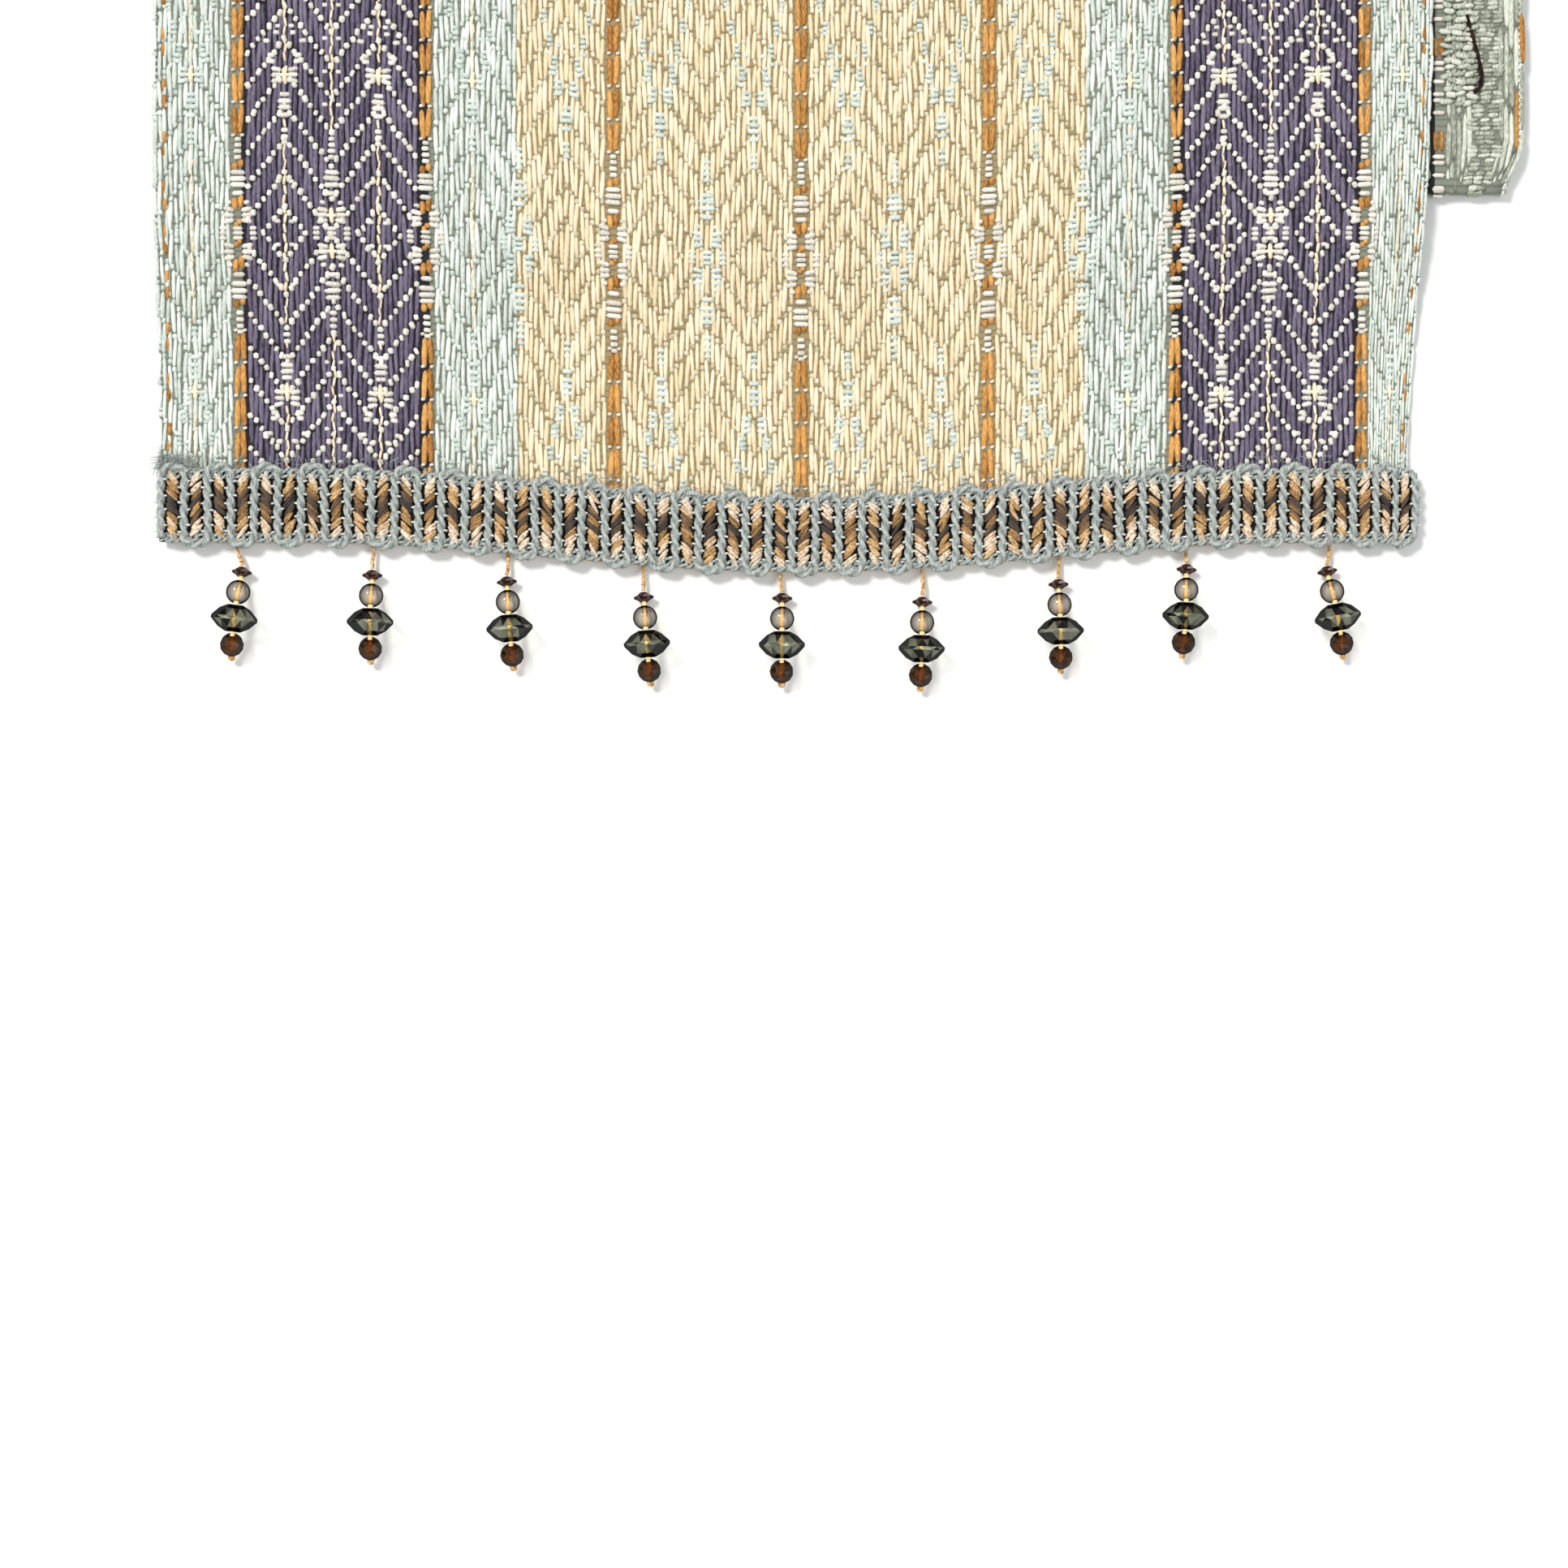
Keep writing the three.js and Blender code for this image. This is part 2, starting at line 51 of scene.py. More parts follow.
# ------------------------------------------------------------
# The table and the light. The runner lies on a plain pale table and is seen from straight above, so the
# camera looks down on the front end from about a metre with a long lens.
WIDTH = 356.0
LENGTH = 1830.0
FAR_REACH = 49.0  # how far the far end comes out past the upper fold
FOLD_SETBACK = 94.0  # from the front end to the lower fold
CLOTH = 2.2
LAYER_GAP = 0.6
BOW = 8.0  # how far each end bows out in its middle
FOLD_RADIUS = (CLOTH + LAYER_GAP) / 2
LOWER_FOLD = FOLD_SETBACK + FOLD_RADIUS + CLOTH / 2
HALF_TURN = math.pi * FOLD_RADIUS
FRONT_PANEL = (LENGTH + 2 * LOWER_FOLD - 2 * HALF_TURN - FAR_REACH) / 3
MIDDLE_START = FRONT_PANEL + HALF_TURN
MIDDLE_END = MIDDLE_START + FRONT_PANEL - LOWER_FOLD
FAR_START = MIDDLE_END + HALF_TURN
FAR_Y = LOWER_FOLD + LENGTH - FAR_START
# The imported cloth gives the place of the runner's own corner in the frame.
cloth_low, cloth_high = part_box("runner_cloth")
HOME = Vector((cloth_low[0] * 1000 + WIDTH / 2, cloth_high[1] * 1000 - FAR_Y - BOW, 0))


def in_frame(x, y, z):
    return Vector((x + HOME.x, y + HOME.y, z)) / 1000


def link(obj):
    bpy.context.scene.collection.objects.link(obj)
    return obj


def add_node(tree, kind, inputs=(), **settings):
    """One node with its settings. An input is a value, an output socket, or a node for its first output."""
    node = tree.nodes.new(kind)
    for name, value in settings.items():
        setattr(node, name, value)
    for key, value in dict(inputs).items():
        if isinstance(value, bpy.types.Node):
            value = value.outputs[0]
        if isinstance(value, bpy.types.NodeSocket):
            tree.links.new(value, node.inputs[key])
        else:
            node.inputs[key].default_value = value
    return node


scene = bpy.context.scene
camera = link(bpy.data.objects.new("camera", bpy.data.cameras.new("camera")))
camera.data.lens = 85
camera.data.sensor_width = 36
camera.data.clip_start = 0.01
camera.location = in_frame(-4.7, -67.9, 1018.6 + 5)
scene.camera = camera

world = bpy.data.worlds.new("studio")
world.use_nodes = True
tree = world.node_tree
tree.nodes.clear()
sky = add_node(tree, "ShaderNodeBackground", {"Color": (0.96, 0.98, 1, 1), "Strength": 0.56})
# the walls round the table look white, though the room is dimmer than they seem
walls = add_node(tree, "ShaderNodeBackground", {"Color": (1, 1, 1, 1)})
seen = add_node(tree, "ShaderNodeLightPath").outputs["Is Camera Ray"]
either = add_node(tree, "ShaderNodeMixShader", {0: seen, 1: sky, 2: walls})
add_node(tree, "ShaderNodeOutputWorld", {"Surface": either})
scene.world = world
scene.view_settings.view_transform = "Standard"


def window_light(name, place, strength, softness, colour=(1, 1, 1)):
    """Even light from one side, as from a tall window: its place only gives the direction."""
    lamp = bpy.data.lights.new(name, "SUN")
    lamp.energy = strength
    lamp.angle = math.radians(softness)
    lamp.color = colour
    obj = link(bpy.data.objects.new(name, lamp))
    obj.location = place
    obj.rotation_euler = (-Vector(place)).to_track_quat("-Z", "Y").to_euler()


window_light("key_light", (-0.85, 0.8, 1.5), 2.75, 16, (1, 0.985, 0.97))
window_light("fill_light", (1.2, -0.7, 1.6), 0.78, 50)


def linear(hex_colour, alpha=1.0):
    """sRGB hex to the linear colour that a shader socket takes."""
    parts = [int(hex_colour[i : i + 2], 16) / 255 for i in (1, 3, 5)]
    return (*(c / 12.92 if c <= 0.04045 else ((c + 0.055) / 1.055) ** 2.4 for c in parts), alpha)


def new_material(name):
    """A material with no nodes yet, and its tree."""
    mat = bpy.data.materials.new(name)
    mat.use_nodes = True
    mat.node_tree.nodes.clear()
    return mat, mat.node_tree


def close_material(tree, shader):
    add_node(tree, "ShaderNodeOutputMaterial", {"Surface": shader})


def surface(tree, **inputs):
    """The main shader of a material. An underscore in an input's name stands for a space."""
    settings = {name.replace("_", " "): value for name, value in inputs.items()}
    close_material(tree, add_node(tree, "ShaderNodeBsdfPrincipled", settings))


def bump(tree, height, strength, distance):
    return add_node(tree, "ShaderNodeBump", {"Height": height, "Strength": strength, "Distance": distance})


def mesh_object(name, places, faces, mat, smooth=True):
    mesh = bpy.data.meshes.new(name)
    mesh.from_pydata(np.asarray(places).tolist(), [], faces)
    mesh.materials.append(mat)
    mesh.polygons.foreach_set("use_smooth", np.full(len(mesh.polygons), smooth))
    mesh.update()
    return link(bpy.data.objects.new(name, mesh))


# Painted table top: matt, off-white, with a faint roller texture
table_paint, tree = new_material("matt_painted_table")
roller = add_node(tree, "ShaderNodeTexNoise", {"Scale": 900.0, "Detail": 3.0})
surface(
    tree,
    Base_Color=linear("#F4F4F2"),
    Roughness=0.8,
    Specular_IOR_Level=0.1,
    Normal=add_node(tree, "ShaderNodeBump", {"Height": roller, "Strength": 0.05}),
)
TABLE_REACH = 25  # metres to each side, so that its edges are out of sight
corners = [(x * TABLE_REACH, y * TABLE_REACH, 0) for x, y in ((-1, -1), (1, -1), (1, 1), (-1, 1))]
table = mesh_object("table", corners, [(0, 1, 2, 3)], table_paint, smooth=False)

# ------------------------------------------------------------
# The ground of the cloth. It is one length of firm cotton, warp-faced, 14 by 72 inches, folded in three.
# Its two ends bow out in the middle, the trim draws its selvages in, and the right one curls under.
BOW_HALF_WIDTH = 138.0
BORDER = 22.0  # the pulls act on this width beside each selvage
LEFT_PULL = 0.8
RIGHT_PULL = 6.4
FAR_PULL = 3.8
PULL_REACH = 140.0
CORNER_PULL = 5.0
CORNER_REACH = 14.0
CURL = 4.6
CURL_FROM = 380.0
CURL_FADE = 200.0
DROOP = 0.7
DROOP_WIDTH = 5.0
FOLD_OFFSET = 20.8
FAR_OFFSET = 9.0
RAMP_START = 48.0
RAMP_END = 92.0
TOP_Z = CLOTH / 2 + 4 * FOLD_RADIUS
GROUND_TOP = 0.5  # the ground's two faces, from the middle of the cloth; the yarns stand out from them
GROUND_BACK = -0.8


def ease(t):
    t = np.clip(t, 0, 1)
    return t * t * (3 - 2 * t)


def bow_at(across):
    return BOW * (1 + np.cos(math.pi * np.minimum(np.abs(across) / BOW_HALF_WIDTH, 1))) / 2


def lie(along):
    """Where the middle of the cloth lies at a distance along it: y, z, and the way its face looks."""
    t = (along - RAMP_START) / (RAMP_END - RAMP_START)
    rise = 4 * FOLD_RADIUS
    slope = np.where((t > 0) & (t < 1), 6 * t * (1 - t) * rise / (RAMP_END - RAMP_START), 0)
    size = np.hypot(1, slope)
    upper = (along - FRONT_PANEL) / FOLD_RADIUS
    lower = (along - MIDDLE_END) / FOLD_RADIUS
    flat = np.zeros_like(along)
    stretches = [
        (along, CLOTH / 2 + rise * ease(t), -slope / size, 1 / size),
        (
            FRONT_PANEL + FOLD_RADIUS * np.sin(upper),
            TOP_Z - FOLD_RADIUS * (1 - np.cos(upper)),
            np.sin(upper),
            np.cos(upper),
        ),
        (FRONT_PANEL - (along - MIDDLE_START), flat + TOP_Z - 2 * FOLD_RADIUS, flat, flat - 1),
        (
            LOWER_FOLD - FOLD_RADIUS * np.sin(lower),
            TOP_Z - FOLD_RADIUS * (3 - np.cos(lower)),
            np.sin(lower),
            -np.cos(lower),
        ),
        (LOWER_FOLD + along - FAR_START, flat + CLOTH / 2, flat, flat + 1),
    ]
    where = [along < end for end in (FRONT_PANEL, MIDDLE_START, MIDDLE_END, FAR_START)]
    return [np.select(where, kinds[:-1], kinds[-1]) for kinds in zip(*stretches)]


def offset_at(along):
    out = ease((along - MIDDLE_START - 40) / (0.6 * (MIDDLE_END - MIDDLE_START)))
    back = ease((along - FAR_START - 80) / (0.7 * (LENGTH - FAR_START)))
    return FOLD_OFFSET * out + (FAR_OFFSET - FOLD_OFFSET) * back


def ripple(across, along):
    """Hand-laid cloth never lies dead flat: slow swells, only upwards, and none where layers touch."""
    swell = np.sin(along / 47 + 0.6 * np.sin(across / 60)) * np.sin(across / 71 + 1.3)
    swell += 0.6 * np.sin(along / 23 + 1.7) * np.sin(across / 39 + along / 110)
    top = ease((along - 60) / 60) * ease((FRONT_PANEL - 30 - along) / 60)
    return 0.45 * top * (swell + 1.0)


def on_cloth(points):
    """(across, along, height above the middle of the cloth) to places in the frame, in metres."""
    across, along, height = points.T.astype(float)
    bowed = along - bow_at(across) * (1 - 2 * along / LENGTH)
    y, z, face_y, face_z = lie(bowed)
    side = np.sign(across)
    curl = np.where(side > 0, CURL * (1 - ease((bowed - CURL_FROM) / CURL_FADE)), 0)
    near = 1 - ease(bowed / PULL_REACH)
    far = 1 - ease((LENGTH - bowed) / PULL_REACH)
    from_corner = np.abs(bowed - (MIDDLE_END + FAR_START) / 2)
    corner = np.where(side > 0, CORNER_PULL * (1 - ease(from_corner / CORNER_REACH)), 0)
    drawn = np.where(side > 0, RIGHT_PULL, LEFT_PULL) * near + FAR_PULL * far + curl + corner
    into_border = np.clip((np.abs(across) - (WIDTH / 2 - BORDER)) / BORDER, 0, None)
    x = across + offset_at(bowed) - side * drawn * into_border
    # a selvage turns down where it is free to
    into_edge = np.clip((np.abs(across) - (WIDTH / 2 - DROOP_WIDTH)) / DROOP_WIDTH, 0, 1)
    droop = DROOP * into_edge**2 * (face_z > 0.5)
    droop = droop * ease((bowed - RAMP_END) / 20)
    z = z + ripple(across, bowed) - droop
    placed = np.stack([x, y + height * face_y, z + height * face_z], 1)
    return (placed + np.array(HOME)) / 1000


def set_attribute(mesh, name, values, domain="POINT"):
    attribute = mesh.attributes.new(name, "FLOAT", domain)
    attribute.data.foreach_set("value", np.asarray(values, np.float32))


# The stripes of the warp, from the middle out to a selvage, as where each one ends
MINT, PURPLE, CREAM = range(3)
STRIPE_ENDS = (77.9, 102.0, 153.5, WIDTH)
STRIPE_COLOURS = (CREAM, MINT, PURPLE, MINT)


def stripe_at(across):
    return np.array(STRIPE_COLOURS)[np.searchsorted(STRIPE_ENDS, np.minimum(np.abs(across), WIDTH - 1))]


def attribute(tree, name):
    """A number that the mesh carries under this name."""
    return add_node(tree, "ShaderNodeAttribute", attribute_name=name).outputs["Fac"]


def calculate(tree, operation, *values, **settings):
    return add_node(tree, "ShaderNodeMath", enumerate(values), operation=operation, **settings)


def colour_ramp(tree, share, stops, interpolation="LINEAR"):
    """Colours along a scale from 0 to 1, as (position, hex colour)."""
    ramp = add_node(tree, "ShaderNodeValToRGB", {"Fac": share})
    ramp.color_ramp.interpolation = interpolation
    elements = ramp.color_ramp.elements
    for position, _ in stops[1:-1]:
        elements.new(position)
    for element, (position, colour) in zip(elements, stops):
        element.position = position
        element.color = linear(colour)
    return ramp


# Cotton between the yarns, in painted shade: the stripe's own colour painted darker as the shade between the
# yarns, with the weft showing as ribs
GROUND_SHADE_HEX = {MINT: "#7B7F71", PURPLE: "#15111A", CREAM: "#98865F"}
PICK = 1.83  # from one weft yarn to the next
shaded_ground_cotton, tree = new_material("cotton_ground_weave")
half = calculate(tree, "ABSOLUTE", attribute(tree, "across"))
share = calculate(tree, "DIVIDE", half, WIDTH / 2)
starts = [min(start / (WIDTH / 2), 1) for start in (0, *STRIPE_ENDS)]
stops = [(start, GROUND_SHADE_HEX[colour]) for start, colour in zip(starts, (*STRIPE_COLOURS, MINT))]
ramp = colour_ramp(tree, share, stops, "CONSTANT")
picks = calculate(tree, "MULTIPLY", attribute(tree, "along"), 2 * math.pi / PICK)
ribs = calculate(tree, "SINE", picks)
surface(tree, Base_Color=ramp, Roughness=0.92, Sheen_Weight=0.2, Normal=bump(tree, ribs, 0.6, 0.0004))


def grid_sheet(name, across, along, top, back, mat):
    """A closed sheet over a grid, with a face, a back and its four edges."""
    u, v = np.meshgrid(across, along)
    rows, cols = u.shape
    flat = np.stack([u.ravel(), v.ravel()], 1)
    face = np.column_stack([flat, np.full(len(flat), top)])
    under = np.column_stack([flat, np.full(len(flat), back)])
    index = np.arange(rows * cols).reshape(rows, cols)
    a, b, c, d = index[:-1, :-1], index[:-1, 1:], index[1:, 1:], index[1:, :-1]
    upper = np.stack([a, b, c, d], -1).reshape(-1, 4)
    lower = upper[:, ::-1] + rows * cols
    rim = np.concatenate([index[0, :], index[1:, -1], index[-1, -2::-1], index[-2:0:-1, 0]])
    after = np.roll(rim, -1)
    sides = np.stack([rim, rim + rows * cols, after + rows * cols, after], -1)
    sheet_points = np.concatenate([face, under])
    obj = mesh_object(name, on_cloth(sheet_points), np.concatenate([upper, lower, sides]).tolist(), mat)
    set_attribute(obj.data, "across", sheet_points[:, 0])
    set_attribute(obj.data, "along", sheet_points[:, 1])
    return obj


# Rows along the cloth, closer together on the ramp and in the folds: from, to and how many
ROWS = [
    (0, 130, 40),
    (130, FRONT_PANEL - BOW, 80),
    (FRONT_PANEL - BOW, MIDDLE_START + BOW, 14),
    (MIDDLE_START + BOW, MIDDLE_END - BOW, 40),
    (MIDDLE_END - BOW, FAR_START + BOW, 14),
    (FAR_START + BOW, LENGTH, 60),
]
rows = np.concatenate([*(np.linspace(*row)[:-1] for row in ROWS), [LENGTH]])
columns = np.linspace(-WIDTH / 2 + 0.3, WIDTH / 2 - 0.3, 73)
ground = grid_sheet("cloth_ground", columns, rows, GROUND_TOP, GROUND_BACK, shaded_ground_cotton)
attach(ground, "runner")
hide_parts("runner_cloth")

# ------------------------------------------------------------
# The yarns of the face. A pointed twill: each warp end floats over the weft and dips under one pick, and
# the dips run in zigzags. Heavier weft bars stand on it in columns as small flowers, with orange ends in
# pairs.
END_PITCH = 1.4317
ENDS = 124  # warp ends on each side of the middle one
COLUMN_ENDS = 9  # warp ends from one column of flowers to the next
COLUMN = COLUMN_ENDS * END_PITCH
LAST_COLUMN = 13
REVERSAL = 83.5  # the first weft line at which the zigzags turn
HALF_REPEAT = 44  # picks from one reversal to the next
FLOAT_PICKS = 5
ORANGE_COLUMNS = (-12, -8, -4, 0, 4, 8, 12)
FLOAT_HEIGHT = 0.62
FLOAT_WIDTH = 1.4
between = np.random.default_rng(7).uniform


def add_socket(tree, name, kind, direction="INPUT"):
    return tree.interface.new_socket(name, in_out=direction, socket_type="NodeSocket" + kind)


# Copies of one small shape on a cloud of points, each with its own size, turn and tint
scatter_tree = bpy.data.node_groups.new("yarn_scatter", "GeometryNodeTree")
add_socket(scatter_tree, "Places", "Geometry")
shape_socket = add_socket(scatter_tree, "Shape", "Object")
finish_socket = add_socket(scatter_tree, "Finish", "Material")
add_socket(scatter_tree, "Yarns", "Geometry", "OUTPUT")
entry = scatter_tree.nodes.new("NodeGroupInput")
shape_node = add_node(scatter_tree, "GeometryNodeObjectInfo", {"Object": entry.outputs["Shape"]})
size_node, turn_node = (
    add_node(scatter_tree, "GeometryNodeInputNamedAttribute", {"Name": name}, data_type="FLOAT_VECTOR")
    for name in ("size", "turn")
)
turned = add_node(scatter_tree, "FunctionNodeEulerToRotation", {"Euler": turn_node})
copies = add_node(
    scatter_tree,
    "GeometryNodeInstanceOnPoints",
    {
        "Points": entry.outputs["Places"],
        "Instance": shape_node.outputs["Geometry"],
        "Rotation": turned,
        "Scale": size_node,
    },
)
whole = add_node(scatter_tree, "GeometryNodeRealizeInstances", {"Geometry": copies})
finish_of = {"Geometry": whole, "Material": entry.outputs["Finish"]}
finished = add_node(scatter_tree, "GeometryNodeSetMaterial", finish_of)
add_node(scatter_tree, "NodeGroupOutput", {"Yarns": finished})


def spindle(name, stations, around, dip=0.0):
    """A closed spindle along Y, one long: stations are (y, radius), and the tips sink by the dip."""
    places, faces = [], []
    for y, radius in stations[1:-1]:
        for step in range(around):
            angle = 2 * math.pi * (step + 0.25) / around
            sink = dip * (abs(y) * 2) ** 2
            places.append((radius * math.cos(angle), y, radius * math.sin(angle) - sink))
    rings = len(stations) - 2
    for ring in range(rings - 1):
        for step in range(around):
            a, b = ring * around + step, ring * around + (step + 1) % around
            faces.append((a, a + around, b + around, b))
    start, end = len(places), len(places) + 1
    places += [(0, stations[0][0], -dip), (0, stations[-1][0], -dip)]
    last = (rings - 1) * around
    for step in range(around):
        following = (step + 1) % around
        faces.append((start, step, following))
        faces.append((end, last + following, last + step))
    mesh = bpy.data.meshes.new(name)
    mesh.from_pydata(places, [], faces)
    return bpy.data.objects.new(name, mesh)


float_shape = spindle("float_shape", [(-0.5, 0), (-0.37, 0.4), (0, 0.5), (0.37, 0.4), (0.5, 0)], 5, 0.32)
nub_shape = spindle("nub_shape", [(-0.5, 0), (-0.3, 0.43), (0.3, 0.43), (0.5, 0)], 5, 0.25)


def scatter(name, shape, finish, to_place=on_cloth):
    """The yarns of a piece. A row is x, y, z, three sizes, three turns and a tint, in mm and radians."""
    laid = np.array(yarns[name], float)
    mesh = bpy.data.meshes.new(name)
    mesh.from_pydata(laid[:, :3].tolist(), [], [])
    for key, columns in (("size", laid[:, 3:6]), ("turn", laid[:, 6:9])):
        mesh.attributes.new(key, "FLOAT_VECTOR", "POINT").data.foreach_set("vector", columns.ravel())
    set_attribute(mesh, "tint", laid[:, 9])
    carrier = link(bpy.data.objects.new(name + "_places", mesh))
    modifier = carrier.modifiers.new("scatter", "NODES")
    modifier.node_group = scatter_tree
    modifier[shape_socket.identifier] = shape
    modifier[finish_socket.identifier] = finish
    evaluated = carrier.evaluated_get(bpy.context.evaluated_depsgraph_get())
    result = bpy.data.meshes.new_from_object(evaluated)
    bpy.data.objects.remove(carrier)
    for key in ("size", "turn"):
        if key in result.attributes:
            result.attributes.remove(result.attributes[key])
    points = np.empty(len(result.vertices) * 3)
    result.vertices.foreach_get("co", points)
    points = points.reshape(-1, 3)
    result.vertices.foreach_set("co", to_place(points).ravel())
    result.polygons.foreach_set("use_smooth", np.ones(len(result.polygons), bool))
    result.update()
    result.name = name
    return link(bpy.data.objects.new(name, result))


def fibres_in(tree, place, scale, low, high):
    """Fine fibres, as a noise for the relief and as streaks between two amounts for the colour."""
    fibres = add_node(tree, "ShaderNodeTexNoise", {"Vector": place, "Scale": scale, "Detail": 2.0})
    ends = {"From Min": 0.35, "From Max": 0.65, "To Min": low, "To Max": high}
    return fibres, add_node(tree, "ShaderNodeMapRange", {"Value": fibres, **ends})


def mixed_colour(tree, share, first, second):
    """A mix of two colours, of which the second may also come from another mix."""
    mix = add_node(tree, "ShaderNodeMix", {"Factor": share}, data_type="RGBA")
    mix.inputs["A"].default_value = first
    if isinstance(second, bpy.types.NodeSocket):
        tree.links.new(second, mix.inputs["B"])
    else:
        mix.inputs["B"].default_value = second
    return mix.outputs["Result"]


def yarn_material(name, light, dark, twist=0.35, sheen=0.06):
    """Spun yarn: its tint moves it between two shades, fine fibres run along it, and its edges glow."""
    mat, tree = new_material(name)
    place = add_node(tree, "ShaderNodeTexCoord").outputs["Object"]
    turned = {"Vector": place, "Scale": (2600.0, 700.0, 2600.0), "Rotation": (0, 0, 0.5)}
    fibres, streaks = fibres_in(tree, add_node(tree, "ShaderNodeMapping", turned), 1.0, -0.25, 0.35)
    uneven = calculate(tree, "ADD", streaks, attribute(tree, "tint"), use_clamp=True)
    surface(
        tree,
        Base_Color=mixed_colour(tree, uneven, linear(dark), linear(light)),
        Roughness=0.95,
        Specular_IOR_Level=0.12,
        Sheen_Weight=sheen,
        Sheen_Roughness=0.4,
        Normal=bump(tree, fibres, twist, 0.0003),
    )
    return mat


mint_yarn = yarn_material("mint_cotton_yarn", "#EAEFE7", "#B7BFB5")
cream_yarn = yarn_material("cream_cotton_yarn", "#FCECD0", "#DCC69E")
purple_yarn = yarn_material("purple_cotton_yarn", "#80778A", "#453D50")
orange_yarn = yarn_material("orange_cotton_yarn", "#E6AE66", "#8F5C28")
white_weft = yarn_material("white_cotton_weft", "#F0ECE2", "#C2BCAE")
mint_weft = yarn_material("mint_cotton_weft", "#DFE8E0", "#B2BDB4")
# In the cream stripe's dips the weft keeps its own tone but is painted darker, as painted shade down in the
# dips
shaded_weft = yarn_material("weft_in_the_dips", "#E8E0C8", "#B3AA8A")


def dipping_picks(end, first, last):
    """The picks that a warp end goes under, counted from the first reversal."""
    picks = np.arange(first, last + 1)
    to_reversal = np.abs((picks + HALF_REPEAT) % (2 * HALF_REPEAT) - HALF_REPEAT)
    to_column = abs((end + COLUMN_ENDS) % (2 * COLUMN_ENDS) - COLUMN_ENDS)
    return picks[(to_reversal - to_column) % FLOAT_PICKS == 0]


def pick_at(along):
    return int(math.ceil((along - REVERSAL) / PICK))


def jitter(spread):
    return between(-spread, spread)


def lay(piece, place, size, turn, tint, tilt=0.0):
    """Adds a yarn to a piece. Its size is width, length and thickness; it turns on the cloth's face."""
    yarns[piece].append((*place, *size, tilt, 0, turn, tint))


QUARTER = math.pi / 2  # a yarn of the weft lies across the cloth
UNDER_TRIM = 0.6  # from an end of the cloth to the first yarn
FACES = [(UNDER_TRIM, MIDDLE_START + 3), (LENGTH - FAR_REACH - 12, LENGTH - UNDER_TRIM)]
DOT_HEIGHT = 0.9
DIP_HEIGHT = 0.6
yarns = collections.defaultdict(list)  # the rows that scatter takes, by the name of their piece


def weft_dot(u, v, colour):
    """The weft shows where an end dips: a white dot on purple, and a shaded one lower down elsewhere."""
    if colour == PURPLE:
        place = (u + jitter(0.2), v + jitter(0.3), DOT_HEIGHT)
        size = (1.75 * between(0.8, 1.2), 2.1 * between(0.8, 1.2), 1.2)
        lay("weft_dots_white", place, size, jitter(0.5), between(0.3, 0.9))
    else:
        place = (u + jitter(0.2), v + jitter(0.4), DIP_HEIGHT)
        size = (1.6 * between(0.7, 1.2), 1.7, 0.85)
        name = "weft_dots_mint" if colour == MINT else "weft_dots_shaded"
        lay(name, place, size, jitter(0.4), between(0, 0.9))


for end in range(-ENDS, ENDS + 1):
    if min(abs(end - COLUMN_ENDS * column) for column in ORANGE_COLUMNS) <= 1:
        continue
    u = end * END_PITCH
    colour = stripe_at(u)
    side = "left" if u < 0 else "right"
    name = {CREAM: "cream_floats_" + side, MINT: "mint_floats", PURPLE: "purple_floats"}[colour]
    for first, last in FACES:
        dips = dipping_picks(end, pick_at(first), pick_at(last) - 1)
        edges = [first - REVERSAL, *(dips * PICK), last - REVERSAL]
        for low, high in zip(edges, edges[1:]):
            length = high - low
            if length < PICK * 0.9:
                continue
            width = FLOAT_WIDTH * between(0.8, 1.1)
            middle = REVERSAL + (low + high) / 2
            place = (u + jitter(0.22), middle + jitter(0.5), FLOAT_HEIGHT + jitter(0.1))
            size = (width, length * between(0.9, 1.12), 1.0)
            lay(name, place, size, jitter(0.085), between(0.2, 0.85))
        for dip in dips:
            weft_dot(u, REVERSAL + dip * PICK, colour)

# The weft marks of a column, down from its reversal line: distance, side, width, height and lean
FAN = 0.22
ROUND_FLOWER = 4.8
STAR_FLOWER = 43.2


def flower_marks(distance, reach, bar, step):
    """Three bars on each side of a flower's middle, fanned out."""
    return [
        (distance + row * step, side * reach, bar, 1.45, side * row * FAN)
        for row in (-1, 0, 1)
        for side in (-1, 1)
    ]


def pair(distance, x, width, height, lean):
    """The same mark on both sides of a column."""
    return [(distance, x, width, height, lean), (distance, -x, width, height, -lean)]


ROUND_COLUMN = [
    (0, 0, 3.0, 1.2, 0), (1.3, 0, 2.8, 1.2, 0), *pair(0, 4.2, 2.1, 1.3, 0.05), *pair(1.3, 4.2, 2.0, 1.2, 0),
    *pair(8.2, 2.5, 1.7, 1.3, 0.2), (10.7, 0, 3.2, 1.5, 0), (13.1, 0, 4.5, 1.6, 0.03),
    (14.8, 0, 4.8, 1.6, -0.03), (16.5, 0, 4.2, 1.5, 0), (20.6, 0, 2.1, 1.4, 0), (22.3, 0, 2.3, 1.4, 0),
    (24.0, 0, 2.1, 1.4, 0), (25.6, 0, 1.8, 1.3, 0), *flower_marks(ROUND_FLOWER, 2.5, 3.1, 1.55),
]  # fmt: skip
STAR_COLUMN = [
    (24.6, 0, 1.8, 1.4, 0), (26.3, 0, 2.1, 1.4, 0), (28.0, 0, 2.0, 1.4, 0), (32.2, 0, 3.0, 1.5, 0),
    (34.4, 0, 3.7, 1.6, 0.04), (36.1, 0, 3.9, 1.6, -0.03), (37.8, 0, 3.1, 1.4, 0),
    *pair(47.0, 3.5, 2.1, 1.5, 0.15), *pair(48.6, 3.7, 2.1, 1.5, 0.15), *pair(52.6, 4.9, 2.1, 1.4, 0.1),
    *pair(54.8, 2.3, 1.8, 1.4, 0), *flower_marks(STAR_FLOWER, 2.2, 2.9, 1.6),
]  # fmt: skip
ROUND_CROSSES = (35, 44.1, 53.3, 62.4, 71.6)
